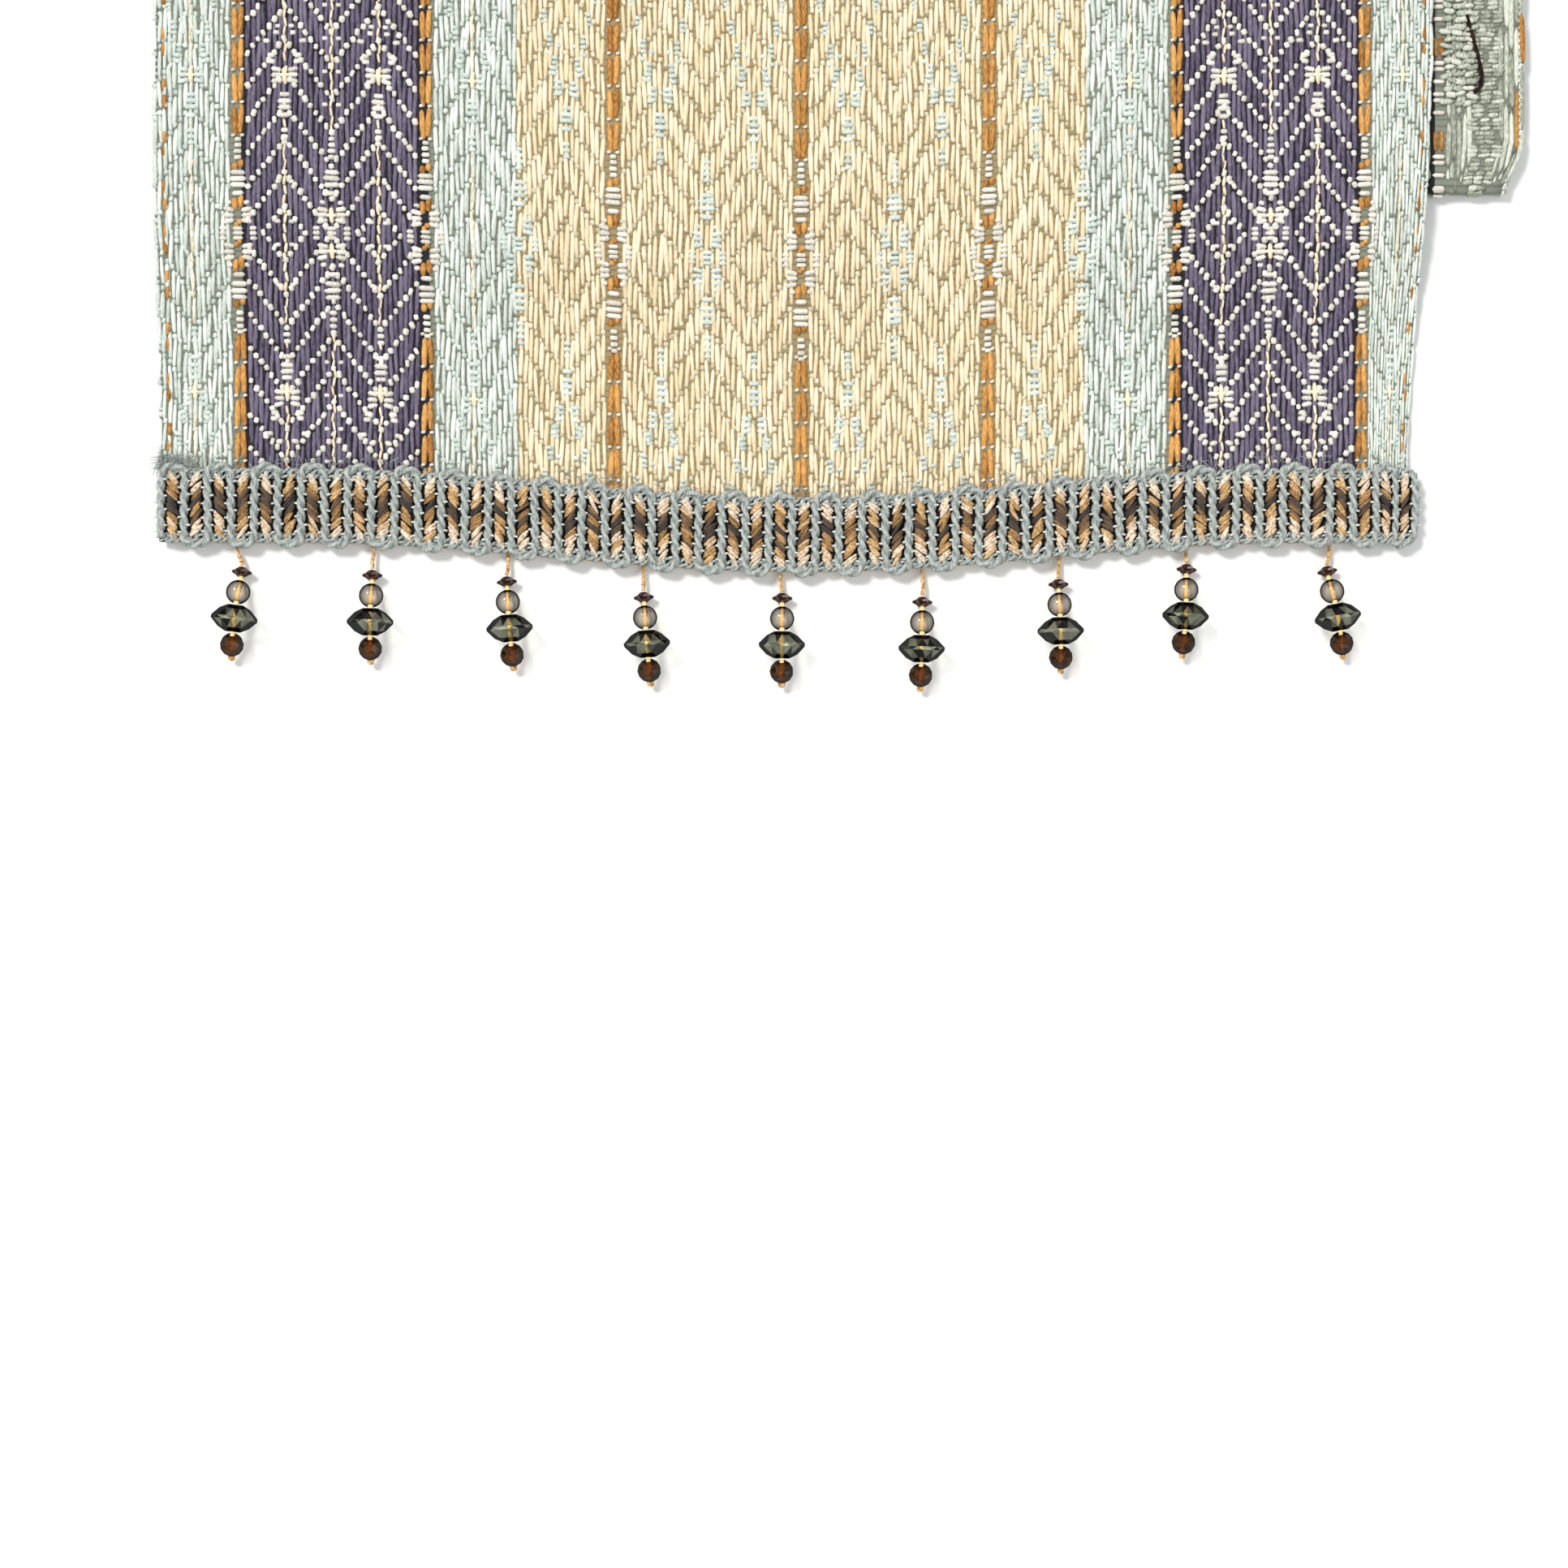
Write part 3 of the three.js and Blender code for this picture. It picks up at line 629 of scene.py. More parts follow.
STAR_CROSSES = (3.1, 13.9, 56.7, 65.9, 75)
CROSS_SPREAD = 1.9
LOOSER_BELOW = 1.04  # the weave is beaten a little looser below each reversal
LEAF_START = 50.0
LEAF_STEP = 6.2
# Where the orange ends show: from, to, and how full they are
ORANGE_SEGMENTS = [(1.9, 3.4, 0.5), (6.3, 10.2, 1), (17.4, 19.8, 1), (26.4, 80.5, 1)]
# Where the cream stems show: from, to, and how wide they are
STEM_ROUND = [(27, 80.5, 0.75)]
STEM_STAR = [(0, 15.6, 1.0), (15.6, 24, 0.6), (29, 31, 0.8), (40.6, 45.8, 1.1), (47, 80.5, 0.8)]
STEM_STITCH = 2.4
STEM_HEIGHT = 1.0
BAR_HEIGHT = 0.95


def on_face(v):
    return any(first + 0.8 < v < last - 0.8 for first, last in FACES)


def add_mark(column, v, x, width, height, lean):
    u = column * COLUMN + x
    if not on_face(v) or abs(u) > WIDTH / 2 - 2:
        return
    vivid = column in ORANGE_COLUMNS or stripe_at(u) == PURPLE
    place = (u + jitter(0.08), v + jitter(0.08), BAR_HEIGHT if vivid else BAR_HEIGHT - 0.12)
    size = (height * 1.12, width * 1.12, 1.0)
    name = "weft_bars_white" if vivid else "weft_bars_mint"
    lay(name, place, size, QUARTER + lean + jitter(0.05), between(0.2, 0.75))


def leaves(column, reversal, side):
    """Small mint bars fan out from a star column."""
    for step in range(4):
        for x in (-1, 1):
            v = reversal + side * (LEAF_START + LEAF_STEP * step)
            u = column * COLUMN + x * (3.1 + 1.5 * step)
            if not on_face(v) or abs(u) >= WIDTH / 2 - 3:
                continue
            for row in (-1, 0, 1):
                place = (u, v + row * 1.4, 0.78)
                lay("weft_bars_mint", place, (1.5, 2.0, 0.9), QUARTER + x * 0.12, between(0.1, 0.5))


def stem(column, reversal, side, bold):
    """A cream end runs down the column, with a small cross in its flower."""
    middle = column * COLUMN
    for start, stop, width in STEM_STAR if column % 2 else STEM_ROUND:
        count = max(1, round((stop - start) / STEM_STITCH))
        for n in range(count):
            v = reversal + side * (start + (n + 0.5) * (stop - start) / count)
            if on_face(v):
                u = middle + 0.25 * math.sin(n * 1.9) + jitter(0.08)
                place = (u, v, STEM_HEIGHT if bold else 0.85)
                size = (width * (1.0 if bold else 0.85), 2.9, 0.75)
                lay("cream_stems", place, size, 0.16 * (-1) ** n, between(0.3, 0.8))
    v = reversal + side * (STAR_FLOWER if column % 2 else ROUND_FLOWER)
    if on_face(v):
        lay("cream_stems", (middle, v, 1.15), (1.5, 4.6, 1.0), 0.05, 0.7)
        lay("cream_stems", (middle, v, 1.2), (1.1, 3.2, 0.9), QUARTER, 0.7)


def orange_ends(column, reversal, side):
    """Orange ends float in pairs, tied down between their floats by short weft marks."""
    for start, stop, fullness in ORANGE_SEGMENTS:
        count = max(1, round((stop - start) / (FLOAT_PICKS * PICK)))
        step = (stop - start) / count
        for n in range(count):
            v = reversal + side * (start + (n + 0.5) * step)
            if not on_face(v):
                continue
            for x in (-1, 1):
                place = (column * COLUMN + x * 0.82 * fullness, v + 0.4 * x, 0.72 + jitter(0.05))
                size = (1.75 * (0.75 + 0.25 * fullness), step * 1.02, 1.15)
                lay("orange_floats", place, size, -side * x * 0.05 + jitter(0.02), between(0.1, 0.8))
            if count > 1:
                for x in (-1.2, 1.2):
                    add_mark(column, reversal + side * (start + n * step) + 0.3, x, 1.2, 0.9, 0.3)


def weave_column(column, reversal, side):
    """All that stands on one column, on one side of a reversal line."""
    zone = stripe_at(column * COLUMN)
    orange = column in ORANGE_COLUMNS
    stretch = 1.0 if side > 0 else LOOSER_BELOW
    for distance, x, width, height, lean in STAR_COLUMN if column % 2 else ROUND_COLUMN:
        if side > 0 or distance:
            add_mark(column, reversal + side * distance * stretch, x, width, height, side * lean)
    if zone == PURPLE and not orange:
        for cross in STAR_CROSSES if column % 2 else ROUND_CROSSES:
            for x in (-CROSS_SPREAD, CROSS_SPREAD):
                add_mark(column, reversal + side * cross, x, 1.6, 1.2, 0)
    if column % 2 and zone != PURPLE:
        leaves(column, reversal, side)
    if zone in (PURPLE, MINT) and not orange:
        stem(column, reversal, side, bold=zone == PURPLE)
    if orange:
        orange_ends(column, reversal, side)


reversals = [REVERSAL + HALF_REPEAT * 2 * PICK * n for n in range(12)]
for column in range(-LAST_COLUMN, LAST_COLUMN + 1):
    for reversal in reversals:
        for side in (-1, 1):
            weave_column(column, reversal, side)

# Short orange floats show near each selvage
SELVAGE_FLOATS = (-75, -58, -44, -30, -16, -4, 8, 22, 36, 50, 64, 78)
for side in (-1, 1):
    for reversal in reversals:
        for start in SELVAGE_FLOATS:
            for v in (reversal + start, reversal + start + 4.4):
                if on_face(v):
                    place = (side * (WIDTH / 2 - 3.1) + jitter(0.15), v, 0.74)
                    lay("orange_floats", place, (1.3, 4.4, 0.9), jitter(0.06), between(0.1, 0.6))


def weave(pieces):
    """Each row becomes one piece of the cloth: its name, the shape of its yarns and their finish."""
    for name, shape, finish in pieces:
        piece = scatter(name, shape, finish)
        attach(piece, "runner")


weave([
    ("cream_floats_left", float_shape, cream_yarn),
    ("cream_floats_right", float_shape, cream_yarn),
    ("mint_floats", float_shape, mint_yarn),
    ("purple_floats", float_shape, purple_yarn),
    ("orange_floats", float_shape, orange_yarn),
    ("weft_dots_white", nub_shape, white_weft),
    ("weft_dots_mint", nub_shape, mint_weft),
    ("weft_dots_shaded", nub_shape, shaded_weft),
    ("weft_bars_white", nub_shape, white_weft),
    ("weft_bars_mint", nub_shape, mint_weft),
    ("cream_stems", float_shape, cream_yarn),
])

# ------------------------------------------------------------
# The back of the cloth, which shows where the lower panels stand out on the right, and the selvages. On the
# back the warp and the weft lie in long ribs; at a selvage each pick turns round the last end.
BACK_HEIGHT = -0.72  # heights on the back are below the middle of the cloth
BACK_FROM = 143.0
INNER_STRIPE = 12 * COLUMN
BLOCK_MIDDLE = LAST_COLUMN * COLUMN
STRIPE_STEP = 8.6
BLOCK_STEP = 3.7
for end in range(int(BACK_FROM / END_PITCH), ENDS + 1):
    u = end * END_PITCH
    beside = abs(u - BLOCK_MIDDLE) >= 4.2 and abs(u - INNER_STRIPE) > 2
    v = MIDDLE_START - 3 + (end % 3) * 4.1
    while v < FAR_START + 8:
        length = between(13, 21)
        if beside:
            name = "back_orange" if end >= ENDS - 1 and between(0, 1) < 0.3 else "back_ribs"
            place = (u + jitter(0.15), v + length / 2, BACK_HEIGHT + jitter(0.15))
            size = (1.7 * between(0.85, 1.15), length * 1.02, 0.95)
            lay(name, place, size, jitter(0.035), between(0.05, 0.9))
        v += length

# Down the inner stripe the orange comes up on every third stretch, and white bars stand on the others
v = MIDDLE_START
while v < FAR_START + 6:
    shows_orange = int(v / STRIPE_STEP) % 3 == 1
    for x in (-0.8, 0.8) if shows_orange else ():
        place = (INNER_STRIPE + x, v + 4.2, BACK_HEIGHT - 0.1)
        lay("back_orange", place, (1.5, 6.0, 1.1), jitter(0.1), between(0, 0.3))
    # A dark strip of painted shade lies in the hollow down the stripe, dark brown where the warp shows in it
    place = (INNER_STRIPE, v + 4.3, BACK_HEIGHT + 0.35)
    lay("back_slit", place, (3.6, 11.0, 0.7), 0, between(0, 0.6))
    for step in () if shows_orange else (0, 1.7, 5.1):
        place = (INNER_STRIPE, v + step, BACK_HEIGHT - 0.3)
        lay("back_bars", place, (1.6, 3.8, 1.0), QUARTER, between(0.2, 0.7))
    v += STRIPE_STEP

# Blocks of short weft floats
first_row, last_row = (int((v - REVERSAL) / BLOCK_STEP) for v in (MIDDLE_START, FAR_START + 8))
for row in range(first_row, last_row):
    spread_out = 2.1 if row % 4 < 2 else 1.2
    for x in (-spread_out, spread_out) if row % 2 else (0, -3.4, 3.4):
        for step in (-1, 0, 1):
            v = REVERSAL + row * BLOCK_STEP + step * 1.15
            place = (BLOCK_MIDDLE + x + jitter(0.2), v, BACK_HEIGHT - 0.12)
            size = (1.45 * between(0.8, 1.2), 3.3 * between(0.8, 1.2), 0.9)
            lay("back_blocks", place, size, QUARTER + jitter(0.2), between(0.0, 0.8))

for side in (-1, 1):
    for pick in range(int(LENGTH / PICK)):
        place = (side * (WIDTH / 2 - 0.75), (pick + 0.5) * PICK, -0.1)
        turn = side * 0.35 + jitter(0.12)
        lay("selvage_turns", place, (1.7, PICK * 0.98, 1.9), turn, between(0.1, 0.7))

# A loose patch of weft lies by the upper panel, with a dark slit down its outer edge, painted as shade in
# dark brown with the brown warp in it
for row in range(26):
    v = FAR_START - 27.5 - 1.9 * row
    for x in (156.8, 160.0, 162.6):
        place = (x + 0.8 * (row % 2) + jitter(0.7), v + jitter(0.5), BACK_HEIGHT - 0.75 + jitter(0.15))
        size = (2.0 * between(0.7, 1.2), 3.9 * between(0.7, 1.15), 1.3)
        lay("back_patch", place, size, QUARTER + jitter(0.35), between(0.1, 0.9))
# The slit: places across the cloth, and how far each lies from the end of the lower fold
SLIT = [
    (164.2, 30.0), (165.9, 31.5), (166.4, 34.5), (165.6, 39.0), (164.4, 43.5), (163.2, 47.5), (162.3, 51.5)
]  # fmt: skip
for (x, back), (next_x, next_back) in zip(SLIT, SLIT[1:]):
    lean = math.atan2(next_x - x, next_back - back)
    reach = math.hypot(next_x - x, next_back - back) * 1.15
    place = ((x + next_x) / 2, FAR_START - (back + next_back) / 2, BACK_HEIGHT - 0.95)
    lay("back_slit", place, (1.5, reach, 1.2), lean, between(0, 0.4))
# The slit and the hollows: painted shade, dark brown where the brown warp shows in them
slit_painted_shade = yarn_material("dark_brown_slit_thread", "#4A3526", "#15100C")
# The back's mint is greyer than the face's own and painted darker still, as painted shade
shaded_mint = yarn_material("mint_cotton_back", "#DADCCD", "#858A7A")
weave([
    ("back_ribs", float_shape, shaded_mint),
    ("back_blocks", float_shape, shaded_mint),
    ("back_orange", float_shape, orange_yarn),
    ("back_bars", nub_shape, white_weft),
    ("back_patch", nub_shape, shaded_mint),
    ("back_slit", float_shape, slit_painted_shade),
    ("selvage_turns", float_shape, mint_yarn),
])

# ------------------------------------------------------------
# The gimp braid sewn over each end. One grey cord goes up and down in ribs and turns over in a loop at each
# edge; slanting yarns shade from cream to dark brown and back across the band, between the ribs.
RIB_PITCH = 6.35
GIMP_HEIGHT = 22.0
GIMP_DROP = 2.2
SCALLOP = 1.2
SEAT = 0.3
GIMP_BASE = CLOTH + SEAT
BAND = GIMP_HEIGHT + 2 * SCALLOP
CORD_RADIUS = 1.3
CORD_PITCH = 3.6
RIB_FOOT = 3.3
RIB_TOP = BAND - RIB_FOOT


def resampled(points, step):
    """The same path with a point at every step along it."""
    path = np.asarray(points, float)
    lengths = np.concatenate([[0], np.cumsum(np.linalg.norm(np.diff(path, axis=0), axis=1))])
    stations = np.linspace(0, lengths[-1], max(2, int(lengths[-1] / step)))
    return np.stack([np.interp(stations, lengths, path[:, axis]) for axis in range(3)], 1), stations


def tube_faces(index):
    """The faces of a closed tube, from the numbers of its points: a row for each ring."""
    a, b = index[:-1], index[1:]
    quads = np.stack([a, np.roll(a, -1, 1), np.roll(b, -1, 1), b], -1).reshape(-1, 4)
    return quads.tolist() + [index[0][::-1].tolist(), index[-1].tolist()]


def cord_mesh(path, radius, pitch, plies=2, sides=10, step=0.5, notch=0.65):
    """A closed twisted cord along a path: its section has a lobe for each ply, and it turns as it goes."""
    centres, stations = resampled(path, step)
    ahead = np.gradient(centres, axis=0)
    ahead /= np.linalg.norm(ahead, axis=1)[:, None]
    aside = np.cross(ahead, (0, 0, 1.0))
    aside /= np.maximum(np.linalg.norm(aside, axis=1), 1e-9)[:, None]
    above = np.cross(aside, ahead)
    around = 2 * math.pi * np.arange(sides) / sides
    lobes = 1 - notch * (1 - np.abs(np.cos(around * plies / 2)) ** 0.7)
    turn = 2 * math.pi * stations / (pitch * plies)
    angle = (around[None, :] + turn[:, None])[..., None]
    spokes = np.cos(angle) * aside[:, None] + np.sin(angle) * above[:, None]
    rings = centres[:, None] + (radius * lobes)[None, :, None] * spokes
    return rings.reshape(-1, 3), tube_faces(np.arange(len(centres) * sides).reshape(-1, sides))


def joined(parts):
    """Several shapes as one: all their points, and their faces renumbered."""
    places, faces, start = [], [], 0
    for points, polygons in parts:
        places.append(points)
        faces += [[start + i for i in polygon] for polygon in polygons]
        start += len(points)
    return np.concatenate(places), faces


def cord_object(name, paths, mat, to_place, sides=10, **shape):
    """Several cords as one mesh."""
    points, faces = joined([cord_mesh(path, sides=sides, **shape) for path in paths])
    obj = mesh_object(name, to_place(points), faces, mat)
    # the groove between the plies is in shade
    ridge = np.abs(np.cos(2 * math.pi * np.arange(sides) / sides))
    set_attribute(obj.data, "tint", np.tile(0.6 * ridge, len(points) // sides))
    return obj


grey_cord = yarn_material("grey_gimp_cord", "#CDD1CA", "#6F7876", 0.8)
grey_tie = yarn_material("pale_gimp_tie", "#D9DEDA", "#AAB4B1")
# Painted shadow and dark stitches show between the yarns, in one near-black colour
gimp_stitches_and_shade, tree = new_material("gimp_ground_thread")
surface(tree, Base_Color=linear("#17130F"), Roughness=0.95)

# Space-dyed yarn: the tint is the place in the dye, from dark brown through gold to a pale cream
dyed_yarn, tree = new_material("space_dyed_gimp_yarn")
DYE = [(0.0, "#2E1F14"), (0.25, "#5C4126"), (0.5, "#A97B3C"), (0.75, "#DCB277"), (1.0, "#F6DDC2")]
dye = colour_ramp(tree, attribute(tree, "tint"), DYE)
place = add_node(tree, "ShaderNodeTexCoord").outputs["Object"]
fibres, worn = fibres_in(tree, place, 1400.0, 0.45, 1.1)
streaked = add_node(tree, "ShaderNodeVectorMath", {0: dye, "Scale": worn}, operation="SCALE")
surface(tree, Base_Color=streaked, Roughness=0.6, Sheen_Weight=0.3, Normal=bump(tree, fibres, 0.5, 0.0003))

LADDER_TINTS = (1.0, 0.86, 0.62, 0.36, 0.2, 0.46, 0.78, 1.0)
FUZZ = 420  # loose fibres
LADDER_START = 5.0
LADDER_STEP = 2.04
LADDER_SLANT = 0.74
END_REACH = 16.0  # the last of the front band, which is turned back and rounded by these two:
END_TUCK = 2.2
END_ROUND = 2.6
STRIP_STATIONS = 120


def gimp_placer(sign, end_y, centre_x, left, span):
    """(along the band, in from its outer edge, height above its underside) to places in the frame."""

    def to_place(points):
        s, t, h = points.T
        # the front band's right end is turned back, so it is shorter and rounded there
        turned = ease((s + END_REACH - span) / END_REACH) * (sign < 0)
        x = left + s - turned * (END_TUCK + END_ROUND * (2 * t / BAND - 1) ** 4)
        outer = end_y + sign * (bow_at(x - centre_x) + GIMP_DROP + SCALLOP)
        return (np.stack([x, outer - sign * t, GIMP_BASE + h], 1) + np.array(HOME)) / 1000

    return to_place


def build_gimp(name, sign, end_y, centre_x):
    low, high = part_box(name)
    left = low[0] * 1000 - HOME.x
    span = (high[0] - low[0]) * 1000
    to_place = gimp_placer(sign, end_y, centre_x, left, span)
    margin = CORD_RADIUS + 0.1
    ribs = round(span / RIB_PITCH)
    rib_at = np.linspace(margin, span - margin, ribs)
    gap = rib_at[1] - rib_at[0]
    serpentine = []
    for number, s in enumerate(rib_at):
        lean = jitter(0.25)
        rise = np.linspace(RIB_FOOT, RIB_TOP, 12)
        if number % 2:
            rise = rise[::-1]
        bulge = 1.65 + 0.25 * np.sin(math.pi * (rise - RIB_FOOT) / (RIB_TOP - RIB_FOOT))
        serpentine += list(zip(s + lean * (rise / BAND - 0.5) * 2, rise, bulge))
        if number + 1 < ribs:
            at_top = number % 2 == 0
            base, sense = (RIB_TOP, 1) if at_top else (RIB_FOOT, -1)
            for angle in np.linspace(0, math.pi, 9)[1:-1]:
                reach = (RIB_FOOT - CORD_RADIUS) * math.sin(angle) * between(0.94, 1.0)
                serpentine.append((s + gap * (1 - math.cos(angle)) / 2, base + sense * reach, 1.55))
    cord = {"radius": CORD_RADIUS, "pitch": CORD_PITCH, "step": 0.55}
    ribs_cord = cord_object(name + "_cord", [serpentine], grey_cord, to_place, **cord)
    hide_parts(name)

    bindings = []
    for t, height, phase in ((2.7, 1.3, 0), (4.1, 1.0, 1), (BAND - 2.7, 1.3, 1), (BAND - 4.1, 1.0, 0)):
        s = np.linspace(0.9, span - 0.9, ribs * 6)
        wave = np.cos(2 * math.pi * (s - margin) / gap + phase * math.pi)
        bindings.append(list(zip(s, t + 0.3 * wave, height - 0.35 * wave)))
    cord = {"radius": 0.85, "pitch": 2.2, "step": 0.6, "sides": 8}
    binding = cord_object(name + "_binding", bindings, grey_cord, to_place, **cord)

    for number in range(ribs - 1):
        s = (rib_at[number] + rib_at[number + 1]) / 2
        slant = 1 if number % 2 else -1
        for row, tint_of in enumerate(LADDER_TINTS):
            t = LADDER_START + LADDER_STEP * row + jitter(0.25)
            angle = slant * (LADDER_SLANT + jitter(0.2)) * sign
            row_tint = tint_of + jitter(0.3)
            for ply in (-0.42, 0.42):
                tint = min(1, max(0, row_tint + jitter(0.1)))
                place = (s + jitter(0.25), t + ply, 1.75 + jitter(0.3))
                size = (1.12 * between(0.85, 1.1), 4.9 * between(0.85, 1.05), 1.5)
                lay(name + "_yarns", place, size, angle + jitter(0.1), tint)
        for t in (3.6, BAND - 3.8):
            place = (s + jitter(0.2), t, 1.45)
            lay(name + "_stubs", place, (1.7, 3.0, 1.3), jitter(0.3), between(0.2, 0.9))
    for s in rib_at:
        for row in range(8):
            place = (s + (1.15 if row % 2 else -1.15), 4.8 + 2.05 * row + jitter(0.4), 2.3)
            lay(name + "_ties", place, (0.75, 1.5, 0.7), QUARTER + jitter(0.3), between(0.2, 0.9))
    # loose grey fibres stand out of the inner edge, most of them at its left corner
    for number in range(FUZZ):
        s = between(-0.5, 11) if number % 3 == 0 else between(0, span)
        place = (s, BAND + between(-2.5, 1.6), between(0.7, 2.2))
        size = (0.2, between(1.5, 4.5), 0.2)
        tilt = jitter(0.3)
        lay(name + "_fuzz", place, size, between(0, math.pi), between(0, 0.5), tilt)

    # a flat strip of stitching closes the band underneath, painted near-black as the shade between the yarns
    s = np.linspace(0.8, span - 0.8, STRIP_STATIONS)
    low_out, low_in, high_out, high_in = (
        np.stack([s, np.full_like(s, t), np.full_like(s, h)], 1)
        for h in (0.05, 0.7)
        for t in (2.2, BAND - 2.2)
    )
    rings = np.stack([low_out, low_in, high_in, high_out], 1).reshape(-1, 3)
    faces = tube_faces(np.arange(len(rings)).reshape(-1, 4))
    if sign < 0:
        faces = [face[::-1] for face in faces]
    pieces = [
        ribs_cord,
        binding,
        scatter(name + "_yarns", float_shape, dyed_yarn, to_place),
        scatter(name + "_ties", nub_shape, grey_tie, to_place),
        scatter(name + "_stubs", nub_shape, grey_cord, to_place),
        scatter(name + "_fuzz", float_shape, grey_cord, to_place),
        mesh_object(name + "_ground", to_place(rings), faces, gimp_stitches_and_shade, smooth=False),
    ]
    for piece in pieces:
        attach(piece, "runner")


build_gimp("front_gimp", -1, 0.0, 0.0)
build_gimp("far_gimp", 1, FAR_Y, FAR_OFFSET)

# ------------------------------------------------------------
# The bead strands. Gold beading thread comes out under the gimp, carries a star spacer, a clear smoky round,
# a faceted rondelle and a faceted brown bead, and ends in a knot. Each strand lies on the rondelle's rim.
THREAD_RADIUS = 0.62
BORE = 0.8
ROUND_RADIUS = 3.35
RONDELLE_HALF = 3.3
END_RADIUS = 3.3
SPACER_HALF = 1.3
SPACER_LEAD = 0.5
KNOT_RADIUS = 1.3
# How steeply the thread rises in each bead, in degrees, when the rondelle lies on its rim
RISE = {"spacer": 14, "round": 24, "rondelle": 0, "end": -28}
# Down a strand: half a bead's length along the thread, and the bare thread above it
BEADS = [
    ("spacer", SPACER_HALF, SPACER_LEAD),
    ("round", ROUND_RADIUS, 1.4),
    ("rondelle", RONDELLE_HALF, 1.0),
    ("end", END_RADIUS, 1.1),
]
STRANDS = 9
STRAND_PITCH = 37.7
THREAD_Z = CLOTH - 0.4
EXIT_OUT = 4.25
RUNNING_OUT = 0.9
RUN_PAST = 4.0
RUN_STATIONS = 60
RIM_REST = 6.5  # the height of a rondelle's middle when it lies on its rim
FAR_DROP = 4.0
FAR_LEAN = 5.0


def walk_strand():
    """Down the thread from its pivot: where each bead stands, as (down, up), and the bends between them."""
    down, up = 0.0, 0.0
    spots, bends = {}, []

    def step(length, rise):
        nonlocal down, up
        down += length * math.cos(math.radians(rise))
        up += length * math.sin(math.radians(rise))

    for number, (name, half_length, above) in enumerate(BEADS):
        if number:
            step(above / 2, RISE[BEADS[number - 1][0]])
            bends.append((down, up))
        step((above / 2 if number else above) + half_length, RISE[name])
        spots[name] = (down, up)
        step(half_length, RISE[name])
    step(KNOT_RADIUS * 0.6, RISE["end"])
    return spots, bends, (down, up)


spots, bends, tail = walk_strand()


def strand_placer(pivot, direction):
    """(aside, down the strand, up), in millimetres from its pivot, to places in the frame."""
    ahead = np.array([direction[0], direction[1]]) / math.hypot(direction[0], direction[1])

    def to_place(points):
        aside, down, up = np.asarray(points, float).T
        x = pivot[0] + ahead[0] * down - ahead[1] * aside
        y = pivot[1] + ahead[1] * down + ahead[0] * aside
        return np.stack([x, y, pivot[2] + up], 1) / 1000

    return to_place


def turned_bead(outline, around, spot, rise, stagger=0.0, star=0.0):
    """A bead as rings, bored along the thread. Staggered rings make facets, and a star pinches its rim."""
    places, faces = [], []
    half_length = outline[-1][1]
    rings = [*outline, (BORE, half_length), (BORE, -half_length)]
    for number, (radius, height) in enumerate(rings):
        shift = stagger * (number % 2) if radius > BORE else 0
        for step in range(around):
            angle = 2 * math.pi * (step + shift) / around
            reach = radius * (1 - star * (step % 2)) if radius > BORE * 1.6 else radius
            places.append((reach * math.cos(angle), height, reach * math.sin(angle)))
    for ring in range(len(rings)):
        after = (ring + 1) % len(rings)
        for step in range(around):
            a, b = ring * around + step, ring * around + (step + 1) % around
            c, d = after * around + (step + 1) % around, after * around + step
            if not stagger:
                faces.append((a, d, c, b))
            elif ring % 2:
                faces += [(a, d, c), (a, c, b)]
            else:
                faces += [(a, d, b), (b, d, c)]
    points = np.array(places)
    slope = math.radians(rise)
    down = spot[0] + points[:, 1] * math.cos(slope) - points[:, 2] * math.sin(slope)
    up = spot[1] + points[:, 1] * math.sin(slope) + points[:, 2] * math.cos(slope)
    return np.stack([points[:, 0], down, up], 1), faces


def ball(radius, opening, steps):
    first = math.asin(opening / radius)
    angles = np.linspace(first, math.pi - first, steps)
    return [(radius * math.sin(angle), -radius * math.cos(angle)) for angle in angles]


RONDELLE_OUTLINE = [(2.2, -3.7), (4.3, -2.6), (6.4, -0.45), (6.4, 0.45), (4.3, 2.6), (2.2, 3.7)]
SPACER_OUTLINE = [(1.1, -1.3), (1.7, -0.8), (2.75, -0.3), (2.75, 0.3), (1.7, 0.8), (1.1, 1.3)]
BEAD_SHAPES = {
    "spacer": dict(outline=SPACER_OUTLINE, around=12, star=0.3),
    "round": dict(outline=ball(ROUND_RADIUS, 1.1, 15), around=24),
    "rondelle": dict(outline=RONDELLE_OUTLINE, around=14, stagger=0.5),
    "end": dict(outline=ball(END_RADIUS, 1.4, 7), around=9, stagger=0.5),
}


ENTRY_TINT = 0.3


